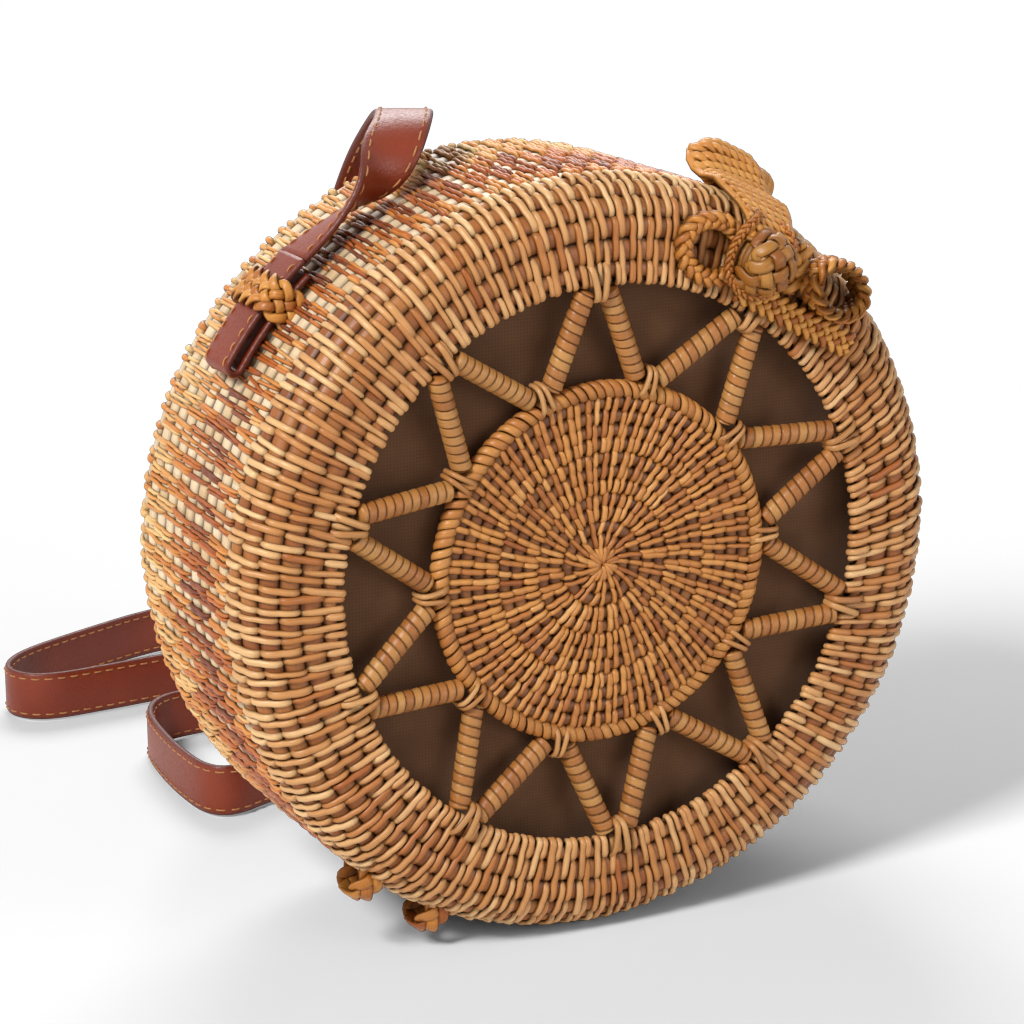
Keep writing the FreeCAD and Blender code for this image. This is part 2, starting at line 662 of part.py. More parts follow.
def make_strap_fittings():
    """The folded strap ends and the plaited keepers that hold them to the drum."""
    return {
        "strap_end_left": place(strap_end(1), LEFT_KEEPER_ANGLE),
        "strap_end_right": place(strap_end(-1), RIGHT_KEEPER_ANGLE),
        "strap_keeper_left": place(keeper(), LEFT_KEEPER_ANGLE),
        "strap_keeper_right": place(keeper(), RIGHT_KEEPER_ANGLE),
    }


def main():
    os.makedirs("parts", exist_ok=True)
    nodes = {}
    for make in (
        make_shell,
        make_hinge_rings,
        make_lid_ring,
        make_star,
        make_lid_lining,
        make_bow,
        make_closure,
        make_strap_fittings,
        make_free_strap,
    ):
        nodes.update(make())
    for name, shape in nodes.items():
        shape.exportStep(os.path.join("parts", name + ".step"))
        box = shape.BoundBox
        print(name, shape.isValid(), len(shape.Solids), round(shape.Volume), [
            round(v, 1) for v in (box.XMin, box.XMax, box.YMin, box.YMax, box.ZMin, box.ZMax)
        ])


main()
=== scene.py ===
import math

import bpy
import numpy as np
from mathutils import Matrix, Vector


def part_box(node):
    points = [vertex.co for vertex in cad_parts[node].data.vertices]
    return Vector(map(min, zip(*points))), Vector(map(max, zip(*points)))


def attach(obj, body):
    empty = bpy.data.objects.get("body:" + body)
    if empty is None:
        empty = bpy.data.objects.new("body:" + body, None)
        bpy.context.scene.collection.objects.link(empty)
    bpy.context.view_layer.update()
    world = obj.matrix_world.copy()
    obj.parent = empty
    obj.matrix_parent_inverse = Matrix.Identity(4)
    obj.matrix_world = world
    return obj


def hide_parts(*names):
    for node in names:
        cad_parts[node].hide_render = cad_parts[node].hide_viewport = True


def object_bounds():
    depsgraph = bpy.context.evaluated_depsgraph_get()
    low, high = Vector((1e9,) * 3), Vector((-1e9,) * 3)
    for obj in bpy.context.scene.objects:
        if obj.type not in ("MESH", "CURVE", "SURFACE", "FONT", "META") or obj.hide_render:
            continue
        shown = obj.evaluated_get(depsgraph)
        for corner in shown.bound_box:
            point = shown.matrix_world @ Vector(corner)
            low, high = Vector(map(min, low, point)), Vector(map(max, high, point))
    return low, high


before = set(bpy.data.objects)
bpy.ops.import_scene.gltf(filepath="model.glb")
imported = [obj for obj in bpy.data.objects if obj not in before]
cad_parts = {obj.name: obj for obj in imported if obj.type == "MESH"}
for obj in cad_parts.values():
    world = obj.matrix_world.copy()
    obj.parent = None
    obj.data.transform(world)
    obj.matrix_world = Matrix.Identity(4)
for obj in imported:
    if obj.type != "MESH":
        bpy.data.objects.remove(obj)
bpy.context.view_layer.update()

MM = 0.001
TURN = 2 * math.pi

# The drum, read from the frame
wall_low, wall_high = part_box("barrel_wall")
ring_low, ring_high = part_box("lid_ring")
medallion_low, medallion_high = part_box("medallion")
knot_low, knot_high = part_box("bow_knot")
R = (wall_high.x - wall_low.x) / 2
AXIS_Z = (wall_high.z + wall_low.z) / 2
FRONT = ring_low.y
SEAM = (ring_high.y + wall_low.y) / 2
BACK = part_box("back_panel")[1].y
MIDDLE = (FRONT + BACK) / 2
WINDOW = min(math.hypot(v.co.x, v.co.z - AXIS_Z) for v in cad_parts["lid_ring"].data.vertices)
MEDALLION = (medallion_high.x - medallion_low.x) / 2
MEDALLION_FRONT = medallion_low.y
MEDALLION_BACK = medallion_high.y
KNOT = math.hypot((knot_low.x + knot_high.x) / 2, (knot_low.z + knot_high.z) / 2 - AXIS_Z)
BOW = math.atan2((knot_low.z + knot_high.z) / 2 - AXIS_Z, (knot_low.x + knot_high.x) / 2)
CLASP = BOW - math.radians(6.7)
HINGE = CLASP + math.pi
LEFT_KEEPER = CLASP + math.radians(80.7)
RIGHT_KEEPER = CLASP - math.radians(80.7)
FRONT_ROUND = 13 * MM
BACK_ROUND = 9.5 * MM
COIL_WALL = 3.6 * MM
EDGE = COIL_WALL / 2

# Distances along the drum's profile, from the window's edge over front and side to the back's middle
FLAT = R - FRONT_ROUND - WINDOW
Q_WALL = FLAT + FRONT_ROUND * math.pi / 2
WALL = BACK - BACK_ROUND - FRONT - FRONT_ROUND
Q_BACK = Q_WALL + WALL
Q_PANEL = Q_BACK + BACK_ROUND * math.pi / 2
Q_CENTRE = Q_PANEL + R - BACK_ROUND
Q_SEAM = Q_WALL + SEAM - FRONT - FRONT_ROUND

# Coiled weave
LID_ROWS = 6
BARREL_ROWS = 9
MEDALLION_ROWS = 13
LID_COLUMNS = 212
BARREL_COLUMNS = 176
BRICK_COLUMNS = 106
COIL_CREST = -0.8 * MM
COIL_SAG = 1.3 * MM
STITCH_THICKNESS = 0.9 * MM
STITCH_BASE = -0.75 * MM
STITCH_DIVE = -2.6 * MM
STITCH_DIP = 0.3 * MM
PAIR_SHIFT = 0.22

# Outlines of a split-cane strip and of a plaited strand, in shares of half width and of thickness
STRIP_TOP = [(-1, 0), (-0.82, 0.6), (-0.4, 0.94), (0, 1), (0.4, 0.94), (0.82, 0.6), (1, 0)]
STRIP_SECTION = np.array(STRIP_TOP + [(0.6, -0.3), (-0.6, -0.3)])
STRAND_TOP = [(-1, 0), (-0.86, 0.62), (-0.45, 0.95), (0.45, 0.95), (0.86, 0.62), (1, 0)]
STRAND_SECTION = np.array(STRAND_TOP + [(0.86, -0.62), (-0.86, -0.62)])

# How dark each point of those outlines is, from lit top to shaded edge
STRIP_SHADE = [0.8, 0.12, 0, 0, 0, 0.12, 0.8, 1, 1]
STRAND_SHADE = [0.75, 0.15, 0, 0, 0.15, 0.75, 0.6, 0.6]

# The closure's roll: its radius, and the place of its middle
ROLL_RADIUS = 5.2 * MM
ROLL = R + ROLL_RADIUS
ROLL_DEPTH = SEAM + 10 * MM

# How strongly the knot's plait bends down at its sides, and how late the closure band's edges curl down
KNOT_CROWN = 80.0
EDGE_CURL = 5

# The way that the drum's front faces
TOWARDS_FRONT = np.array((0.0, -1.0, 0.0))

# Lashing strips, in millimetres: outward from the edge they hold, behind its front, and aside from the fork
OUTER_LASHING = [(5.5, 1, 2.2), (4.5, -0.7, 2), (1.5, -1.1, 1.5), (-1, -1.2, 1.1), (-2.8, -0.6, 0.9)]
OUTER_LASHING += [(-3.4, 1.4, 0.8), (-3.2, 3.6, 0.8)]
INNER_LASHING = [(-3, 1, 1.6), (-2.2, -0.6, 1.4), (0.2, -1, 1.1), (2.2, -1.1, 0.9), (3.6, -0.5, 0.8)]
INNER_LASHING += [(4.2, 1.6, 0.7), (4, 3.8, 0.7)]

# Strap, in metres; its route is x, distance behind the drum's middle, height, and the way its width points
STRAP_WIDTH = 15 * MM
STRAP_THICKNESS = 2 * MM
STRAP_BED = 0.4 * MM
FOLD_GAP = 1.8 * MM
FOLD_REACH = 18.5 * MM
TAIL_REACH = 10 * MM
EXIT_REACH = 11.5 * MM
UPRIGHT = (0.0, 0.0, 1.0)
STRAP_ROUTE = [
    (-0.060, 0.0005, 0.1855, (-0.20, -0.98, 0.0)),
    (-0.0473, -0.003, 0.1971, (-0.90, -0.40, 0.0)),
    (-0.036, 0.005, 0.211, (-0.90, 0.45, 0.0)),
    (-0.027, 0.025, 0.211, (-0.90, 0.45, 0.0)),
    (-0.027, 0.0505, 0.190, (-0.95, 0.30, 0.0)),
    (-0.033, 0.062, 0.152, (-1.0, 0.0, 0.0)),
    (-0.042, 0.082, 0.106, (-1.0, 0.0, 0.0)),
    (-0.038, 0.112, 0.062, (-1.0, 0.1, 0.0)),
    (-0.012, 0.145, 0.031, (-0.9, 0.4, 0.1)),
    (0.022, 0.181, 0.014, (-0.7, 0.6, 0.4)),
    (0.036, 0.215, 0.009, (-0.4, 0.2, 0.9)),
    (0.020, 0.242, 0.008, UPRIGHT),
    (-0.020, 0.241, 0.008, UPRIGHT),
    (-0.057, 0.225, 0.008, UPRIGHT),
    (-0.080, 0.213, 0.008, UPRIGHT),
    (-0.088, 0.199, 0.008, UPRIGHT),
    (-0.080, 0.187, 0.008, UPRIGHT),
    (-0.058, 0.1885, 0.008, UPRIGHT),
    (-0.026, 0.192, 0.008, UPRIGHT),
    (0.0, 0.187, 0.008, UPRIGHT),
    (0.006, 0.167, 0.008, UPRIGHT),
    (-0.010, 0.153, 0.008, UPRIGHT),
    (-0.036, 0.156, 0.008, UPRIGHT),
    (-0.060, 0.151, 0.008, UPRIGHT),
    (-0.065, 0.112, 0.008, UPRIGHT),
    (-0.0625, 0.079, 0.008, UPRIGHT),
    (-0.036, 0.093, 0.008, UPRIGHT),
    (0.006, 0.090, 0.0078, (0.0, 0.5, 0.87)),
    (0.048, 0.094, 0.007, (-0.2, 0.9, 0.3)),
    (0.072, 0.093, 0.026, (0.1, 1.0, -0.1)),
    (0.087, 0.079, 0.058, (0.6, 0.8, 0.0)),
    (0.100, 0.059, 0.091, (0.95, 0.3, 0.0)),
    (0.111, 0.037, 0.111, (1.0, 0.2, 0.0)),
    (0.113, 0.013, 0.103, (0.85, 0.5, 0.0)),
    (0.106, 0.003, 0.086, (0.35, 0.93, 0.0)),
]
THREAD_PITCH = 4 * MM
THREAD_LENGTH = 3 * MM
THREAD_WIDTH = 0.5 * MM
THREAD_FROM_EDGE = 1.7 * MM

# Camera, set out from the photograph's perspective
CAMERA_PLACE = (-0.365479, -0.711460, 0.326782)
CAMERA_AIM = (-0.007977, 0.008150, 0.105858)
CAMERA_FIELD = math.radians(18.431)

# How two colours are mixed where one darkens the other
MULTIPLIED = {"data_type": "RGBA", "blend_type": "MULTIPLY"}


def linear(colour):
    """An sRGB hex colour as the linear colour that shaders take."""
    shares = [int(colour[place : place + 2], 16) / 255 for place in (1, 3, 5)]
    return [s / 12.92 if s <= 0.04045 else ((s + 0.055) / 1.055) ** 2.4 for s in shares] + [1.0]


def add(tree, kind, inputs, stops=(), **settings):
    """Add one shader node with its settings, its colour stops, and the values or links of its sockets."""
    made = tree.nodes.new("ShaderNode" + kind)
    for name, value in settings.items():
        setattr(made, name, value)
    if stops:
        elements = made.color_ramp.elements
        while len(elements) < len(stops):
            elements.new(1.0)
        for number, colour in enumerate(stops):
            elements[number].position = number / (len(stops) - 1)
            elements[number].color = linear(colour)
    for name, value in inputs.items():
        if isinstance(value, bpy.types.NodeSocket):
            tree.links.new(value, made.inputs[name])
        else:
            made.inputs[name].default_value = value
    return made


def new_material(name):
    """An empty node material and its tree."""
    material = bpy.data.materials.new(name)
    material.use_nodes = True
    material.node_tree.nodes.clear()
    return material, material.node_tree


def cane(name, colours, groove):
    """Split rattan cane, peeled and flattened: a satin skin with fine lengthways fibres that differ from
    strip to strip.
    Painted shade, read from the depth attribute, darkens it towards the groove colour and fades its gloss
    where strips tuck under each other, at strip edges and between coil rows."""
    fibre = 0.35 * MM
    fibre_run = 14 * MM
    fibre_share = 0.7
    fibre_relief = 0.12 * MM
    age_spot = 9 * MM
    age_share = 0.6
    dull = 0.52
    polished = 0.3
    open_gloss = 0.4
    material, tree = new_material(name)
    tint = add(tree, "Attribute", {}, attribute_name="tint").outputs["Fac"]
    depth = add(tree, "Attribute", {}, attribute_name="depth").outputs["Fac"]
    place = add(tree, "UVMap", {}, uv_map="lengthways")
    fibres = add(tree, "Mapping", {"Vector": place.outputs["UV"], "Scale": (1 / fibre, 1 / fibre_run, 1)})
    streaks = add(tree, "TexNoise", {"Vector": fibres.outputs["Vector"], "Scale": 1.0, "Detail": 3.0})
    streak = streaks.outputs["Fac"]
    where = add(tree, "TexCoord", {}).outputs["Object"]
    blotch = add(tree, "TexNoise", {"Vector": where, "Scale": 1 / age_spot, "Detail": 2.0})
    skin = add(tree, "ValToRGB", {"Fac": tint}, stops=colours).outputs["Color"]
    aged = add(tree, "ValToRGB", {"Fac": blotch.outputs["Fac"]}, stops=("#c9a98a", "#ffffff", "#ffffff"))
    fibred = add(tree, "ValToRGB", {"Fac": streak}, stops=("#9c7a5c", "#f4ece2", "#ffffff")).outputs["Color"]
    patchy = add(tree, "Mix", {0: age_share, 6: skin, 7: aged.outputs["Color"]}, **MULTIPLIED)
    lined = add(tree, "Mix", {0: fibre_share, 6: patchy.outputs[2], 7: fibred}, **MULTIPLIED)
    # Painted shade: the depth attribute mixes the colour towards the groove colour in tucks, at edges and in
    # grooves.
    tucked = add(tree, "Mix", {0: depth, 6: lined.outputs[2], 7: linear(groove)}, data_type="RGBA")
    rough = add(tree, "MapRange", {"Value": streak, "To Min": dull, "To Max": polished})
    sheen = add(tree, "MapRange", {"Value": depth, "To Min": open_gloss, "To Max": 0.0})
    ridge = add(tree, "Bump", {"Height": streak, "Strength": 0.5, "Distance": fibre_relief})
    look = {
        "Base Color": tucked.outputs[2],
        "Roughness": rough.outputs["Result"],
        "Specular IOR Level": sheen.outputs["Result"],
        "Normal": ridge.outputs["Normal"],
    }
    shader = add(tree, "BsdfPrincipled", look)
    add(tree, "OutputMaterial", {"Surface": shader.outputs["BSDF"]})
    return material


def leather():
    """Corrected-grain cow leather with red-brown dye and wax: semi-gloss, with a fine pebbled grain, and
    painted shade on the strap's cut edges.
    """
    grain = 0.8 * MM
    grain_relief = 0.14 * MM
    cloud = 22 * MM
    waxed = 0.34
    worn = 0.52
    material, tree = new_material("waxed_brown_leather")
    where = add(tree, "TexCoord", {}).outputs["Object"]
    pebble = add(tree, "TexVoronoi", {"Vector": where, "Scale": 1 / grain}).outputs["Distance"]
    cloudy = add(tree, "TexNoise", {"Vector": where, "Scale": 1 / cloud, "Detail": 4.0})
    depth = add(tree, "Attribute", {}, attribute_name="depth").outputs["Fac"]
    dye = add(tree, "ValToRGB", {"Fac": cloudy.outputs["Fac"]}, stops=("#641f0a", "#782a0e", "#8a3614"))
    # Painted shade: the depth attribute darkens the dye towards a near-black brown on the strap's cut edges.
    edges = {0: depth, 6: dye.outputs["Color"], 7: linear("#3a1006")}
    dye_with_painted_edge_shade = add(tree, "Mix", edges, data_type="RGBA")
    rough = add(tree, "MapRange", {"Value": pebble, "To Min": waxed, "To Max": worn})
    bump = add(tree, "Bump", {"Height": pebble, "Strength": 0.45, "Distance": grain_relief})
    look = {
        "Base Color": dye_with_painted_edge_shade.outputs[2],
        "Roughness": rough.outputs["Result"],
        "IOR": 1.48,
        "Normal": bump.outputs["Normal"],
        "Specular IOR Level": 0.45,
    }
    shader = add(tree, "BsdfPrincipled", look)
    add(tree, "OutputMaterial", {"Surface": shader.outputs["BSDF"]})
    return material


def thread():
    """Waxed linen thread, twisted: tan, with a slight sheen and light and dark along its twist."""
    twist = 0.9 * MM
    material, tree = new_material("waxed_linen_thread")
    where = add(tree, "TexCoord", {}).outputs["Object"]
    plies = add(tree, "TexNoise", {"Vector": where, "Scale": 1 / twist, "Detail": 2.0})
    colour = add(tree, "ValToRGB", {"Fac": plies.outputs["Fac"]}, stops=("#8a5a32", "#a9713f", "#bd8a56"))
    look = {"Base Color": colour.outputs["Color"], "Roughness": 0.6, "IOR": 1.5}
    shader = add(tree, "BsdfPrincipled", look)
    add(tree, "OutputMaterial", {"Surface": shader.outputs["BSDF"]})
    return material


def cloth():
    """Cotton lining, plain woven: matt dark brown. Its 0.4 mm threads are drawn 0.9 mm apart, to show."""
    spacing = 0.9 * MM
    slub = 6 * MM
    thread_relief = 0.1 * MM
    thread_share = 0.8
    material, tree = new_material("brown_cotton_lining")
    where = add(tree, "TexCoord", {}).outputs["Object"]
    bands = {"Vector": where, "Scale": 1 / spacing / 20 * TURN, "Distortion": 0.6}
    warp = add(tree, "TexWave", bands, bands_direction="X")
    weft = add(tree, "TexWave", bands, bands_direction="Z")
    higher = add(tree, "Math", {0: warp.outputs["Fac"], 1: weft.outputs["Fac"]}, operation="MAXIMUM")
    weave = higher.outputs["Value"]
    slubs = add(tree, "TexNoise", {"Vector": where, "Scale": 1 / slub, "Detail": 3.0})
    dye = add(tree, "ValToRGB", {"Fac": slubs.outputs["Fac"]}, stops=("#54361e", "#603e22", "#6c4a2a"))
    shade = add(tree, "ValToRGB", {"Fac": weave}, stops=("#d8d0c8", "#ffffff")).outputs["Color"]
    woven = add(tree, "Mix", {0: thread_share, 6: dye.outputs["Color"], 7: shade}, **MULTIPLIED)
    bump = add(tree, "Bump", {"Height": weave, "Strength": 0.4, "Distance": thread_relief})
    look = {
        "Base Color": woven.outputs[2],
        "Roughness": 0.9,
        "Normal": bump.outputs["Normal"],
        "Sheen Weight": 0.15,
        "Sheen Roughness": 0.5,
    }
    shader = add(tree, "BsdfPrincipled", look)
    add(tree, "OutputMaterial", {"Surface": shader.outputs["BSDF"]})
    return material


# The last colour of each cane is its painted shade colour, for tucks, strip edges and the grooves between
# coil rows.
RING_CANE = cane("ring_split_cane", ("#a65f2a", "#bd7f45", "#d39f67", "#e8c28e"), "#1e0c05")
RING_COIL = cane("ring_coil_cane", ("#8a4e22", "#a05f2d", "#b0753e", "#925527"), "#170903")
BARREL_CANE = cane("barrel_split_cane", ("#7c422a", "#bb672f", "#de984e", "#f0ce90"), "#2c1206")
BARREL_COIL = cane("barrel_coil_cane", ("#dfc6a0", "#f0dfc0", "#e6d0ac", "#d6b88c"), "#33170a")
MEDALLION_CANE = cane("medallion_split_cane", ("#965424", "#b37238", "#ca8c48", "#dca666"), "#170903")
MEDALLION_COIL = cane("medallion_coil_cane", ("#6e3d18", "#804b20", "#945f2e", "#824d20"), "#120602")
ROD_CANE = cane("rod_wrapping_cane", ("#99602e", "#ae7339", "#bb8a4e", "#a76d38"), "#2c1307")
PLAIT_CANE = cane("golden_plaited_cane", ("#b06a26", "#c88638", "#d79c4c", "#a45c22"), "#301404")
# The knot's cane is the golden plaited cane darkened by about a fifth: painted shade on the knot and its
# core.
SHADED_KNOT_CANE = cane("knot_plaited_cane_in_painted_shade", ("#8c521a", "#a46b28", "#b5823a", "#824816"), "#230d03")
TWINED_CANE = cane("twined_split_cane", ("#b46c2a", "#cf893c", "#e0a456", "#a86226"), "#301404")
LASHING_CANE = cane("lashing_split_cane", ("#b07842", "#c08c55", "#cd9d66", "#a86c38"), "#241007")
LEATHER = leather()
THREAD = thread()
CLOTH = cloth()


def unit(vectors):
    """Vectors scaled to length 1."""
    return vectors / np.maximum(np.linalg.norm(vectors, axis=-1, keepdims=True), 1e-12)


def drum(radius, angle, depth):
    """Points at a radius and angle about the drum's axis, at a depth."""
    parts = np.broadcast_arrays(radius * np.cos(angle), depth, AXIS_Z + radius * np.sin(angle))
    return np.stack(parts, axis=-1)


def rim(local, angle):
    """Points given as radius, depth and distance anticlockwise along the tangent, at an angle."""
    radius, depth, aside = np.moveaxis(np.asarray(local, float), -1, 0)
    x = radius * np.cos(angle) - aside * np.sin(angle)
    z = AXIS_Z + radius * np.sin(angle) + aside * np.cos(angle)
    return np.stack([x, depth, z], axis=-1)


def rim_way(local, angle):
    """A direction given as outward, backward and anticlockwise shares, at an angle round the drum."""
    return rim(local, angle) - rim((0, 0, 0), angle)


def drum_skin(q, angle, lift):
    """Points of the drum's skin at a distance q along its profile, raised by lift; below EDGE the skin
    rolls round the window's edge to the back of the ring."""
    edge_turn = np.maximum(EDGE - q, 0) / EDGE
    front_turn = np.clip((q - FLAT) / FRONT_ROUND, 0, math.pi / 2)
    back_turn = np.clip((q - Q_BACK) / BACK_ROUND, 0, math.pi / 2)
    facing = front_turn + back_turn - edge_turn
    radius = WINDOW + np.clip(q, EDGE, FLAT) + FRONT_ROUND * np.sin(front_turn) - EDGE * np.sin(edge_turn)
    radius = radius - BACK_ROUND * (1 - np.cos(back_turn)) - np.maximum(q - Q_PANEL, 0)
    depth = FRONT + FRONT_ROUND * (1 - np.cos(front_turn)) + np.clip(q - Q_WALL, 0, WALL)
    depth = depth + EDGE * (1 - np.cos(edge_turn)) + BACK_ROUND * np.sin(back_turn)
    return drum(radius + lift * np.sin(facing), angle, depth - lift * np.cos(facing))


def medallion_skin(radius, angle, lift):
    """Points of the medallion's front, raised by lift."""
    return drum(radius, angle, MEDALLION_FRONT - lift)


def rolled_edge(centre, depth, half_width, half_depth):
    """A skin for wraps round an edge coil; its first value is the angle round that coil."""

    def skin(turn, angle, lift):
        radius = centre + (half_width + lift) * np.cos(turn)
        return drum(radius, angle, depth - (half_depth + lift) * np.sin(turn))

    return skin


def patch(points, tint, depth, u, v, loop=False):
    """Faces and shading values of strips of points: strip, station along it, place round it. A loop also
    closes along each strip, and other strips are capped at both ends."""
    count, stations, around = points.shape[:3]
    index = np.arange(count * stations * around).reshape(count, stations, around)
    ahead = np.roll(index, -1, axis=1)
    here = index
    if not loop:
        ahead = ahead[:, :-1]
        here = index[:, :-1]
    quads = np.stack([here, np.roll(here, -1, axis=2), np.roll(ahead, -1, axis=2), ahead], axis=-1)
    tints = np.broadcast_to(tint, quads.shape[:3]).reshape(-1)
    quads = quads.reshape(-1, 4)
    flat = points.reshape(-1, 3)
    a, b, c = (flat[quads[:, corner]] for corner in (0, 1, 2))
    if (np.cross(a, b) * c).sum() < 0:
        quads = quads[:, ::-1]
        turned = slice(None, None, 1)
    else:
        turned = slice(None, None, -1)
    caps = []
    if not loop:
        first = index[:, 0, turned]
        last = index[:, -1, ::-1][:, turned]
        caps = np.concatenate([first, last]).tolist()
        cap_tint = np.broadcast_to(tint, (count, stations - 1, around))[:, 0, 0]
        tints = np.concatenate([tints, cap_tint, cap_tint])
    size = (count, stations, around)
    uv = np.stack([np.broadcast_to(u, size), np.broadcast_to(v, size)], axis=-1).reshape(-1, 2)
    return {
        "points": flat,
        "faces": quads.tolist() + caps,
        "tint": tints,
        "depth": np.broadcast_to(depth, size).reshape(-1),
        "uv": uv,
    }


def placed(name, data):
    """A new object in the scene."""
    made = bpy.data.objects.new(name, data)
    bpy.context.scene.collection.objects.link(made)
    return made


def piece(name, patches, body, material, stands_for=()):
    """One mesh piece from its patches, riding on a body and standing for CAD nodes."""
    points = np.concatenate([p["points"] for p in patches])
    starts = np.cumsum([0] + [len(p["points"]) for p in patches])
    faces = [[start + i for i in face] for p, start in zip(patches, starts.tolist()) for face in p["faces"]]
    mesh = bpy.data.meshes.new(name)
    mesh.from_pydata(points.tolist(), [], faces)
    tint = mesh.attributes.new("tint", "FLOAT", "FACE")
    tint.data.foreach_set("value", np.concatenate([p["tint"] for p in patches]).astype(np.float32))
    # The depth attribute carries painted shade: how far each point is darkened towards its material's shade
    # colour.
    depth = mesh.attributes.new("depth", "FLOAT", "POINT")
    depth.data.foreach_set("value", np.concatenate([p["depth"] for p in patches]).astype(np.float32))
    corners = np.zeros(len(mesh.loops), np.int32)
    mesh.loops.foreach_get("vertex_index", corners)
    uv = np.concatenate([p["uv"] for p in patches])
    mesh.uv_layers.new(name="lengthways").data.foreach_set("uv", uv[corners].astype(np.float32).ravel())
    mesh.materials.append(material)
    mesh.shade_smooth()
    made = placed(name, mesh)
    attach(made, body)
    if stands_for:
        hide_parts(*stands_for)
    return made


def lengths(line):
    """The distance along each line to each of its points."""
    steps = np.linalg.norm(np.diff(line, axis=-2), axis=-1)
    return np.concatenate([np.zeros(steps.shape[:-1] + (1,)), np.cumsum(steps, axis=-1)], axis=-1)


def axes(line, across=None, up=None):
    """The across and up directions along lines of points, from a hint for one of them."""
    along = unit(np.gradient(line, axis=-2))
    if up is None:
        across = unit(across - along * (across * along).sum(-1, keepdims=True))
    else:
        across = unit(np.cross(along, up))
    return across, np.cross(across, along)


def sweep(line, across, up, half_width, thickness, section, tint, depth=0.0, shade=None, seed=0):
    """Strips with a given section along lines of points: strip, station, xyz."""
    rng = np.random.default_rng(seed)
    count, stations = line.shape[:2]
    half = np.broadcast_to(half_width, (count, stations))[..., None]
    thick = np.broadcast_to(thickness, (count, stations))[..., None]
    sideways = half * section[:, 0]
    upwards = thick * section[:, 1]
    points = line[:, :, None] + across[:, :, None] * sideways[..., None]
    points = points + up[:, :, None] * upwards[..., None]
    start = rng.random((count, 1, 1))
    v = lengths(line)[..., None] + start
    # Painted shade: each point takes the darker of the depth given along the strip and the shade of its
    # outline point.
    side = np.zeros(len(section)) if shade is None else np.asarray(shade)
    dark = np.maximum(np.broadcast_to(depth, (count, stations))[..., None], side)
    return patch(points, np.reshape(tint, (-1, 1, 1)), dark, sideways + start, v)


def taken(places, distance, values):
    """Values along a line, read at other places along it."""
    return np.stack([np.interp(places, distance, values[:, i]) for i in range(3)], axis=-1)


def resampled(step, line, *others):
    """A line and what goes along it, taken at even steps."""
    distance = lengths(line)
    even = np.linspace(0, distance[-1], max(4, round(distance[-1] / step)))
    return [taken(even, distance, values) for values in (line, *others)]


def nurbs(points):
    """Points along the smooth spline that has the given points as its control points."""
    steps = 12
    curve = bpy.data.curves.new("route", "CURVE")
    curve.dimensions = "3D"
    spline = curve.splines.new("NURBS")
    spline.points.add(len(points) - 1)
    for control, place in zip(spline.points, points):
        control.co = (*place, 1.0)
    spline.order_u = 3
    spline.use_endpoint_u = True
    spline.resolution_u = steps
    holder = bpy.data.objects.new("route", curve)
    mesh = bpy.data.meshes.new_from_object(holder)
    found = np.array([vertex.co for vertex in mesh.vertices])
    bpy.data.objects.remove(holder)
    bpy.data.curves.remove(curve)
    bpy.data.meshes.remove(mesh)
    return found


def coils(skin, edges, columns, wall, seed):
    """Coil rows between the given edges as one closed shell with a rounded ridge for each row."""
    rng = np.random.default_rng(seed)
    steps = 8
    rows = len(edges) - 1
    mark = np.arange(rows * steps + 1)
    across = 2 * (mark % steps) / steps - 1
    row = np.minimum(mark // steps, rows - 1)
    q = np.interp(mark / steps, np.arange(rows + 1), edges)
    sag = COIL_SAG * (1 - np.sqrt(1 - 0.92 * across**2))
    profile_q = np.concatenate([q, q[::-1]])
    profile_lift = np.concatenate([COIL_CREST - sag, -wall + 0.4 * sag[::-1]])
    # Painted shade: darker towards each row's edges, in the grooves where rows meet, on both faces of the
    # shell.
    dark = np.concatenate([across**4, across[::-1] ** 4])
    angle = np.arange(2 * columns) * TURN / (2 * columns)
    points = skin(profile_q[None, :], angle[:, None], profile_lift[None, :])[None]
    bricks = rng.random((columns, rows))
    tint = bricks[np.arange(2 * columns)[:, None] // 2, np.concatenate([row, row[::-1]])[None, :]][None]
    return patch(points, tint, dark, profile_q, (angle * R)[None, :, None], loop=True)


def twill(rows, columns):
    """Which rows each stitch crosses: two rows, starting one row on in every other column."""
    crossed = []
    for column in range(columns):
        for start in range(-(column % 2), rows, 2):
            crossed.append((column, max(start, 0), min(start + 2, rows)))
    return np.array(crossed).T


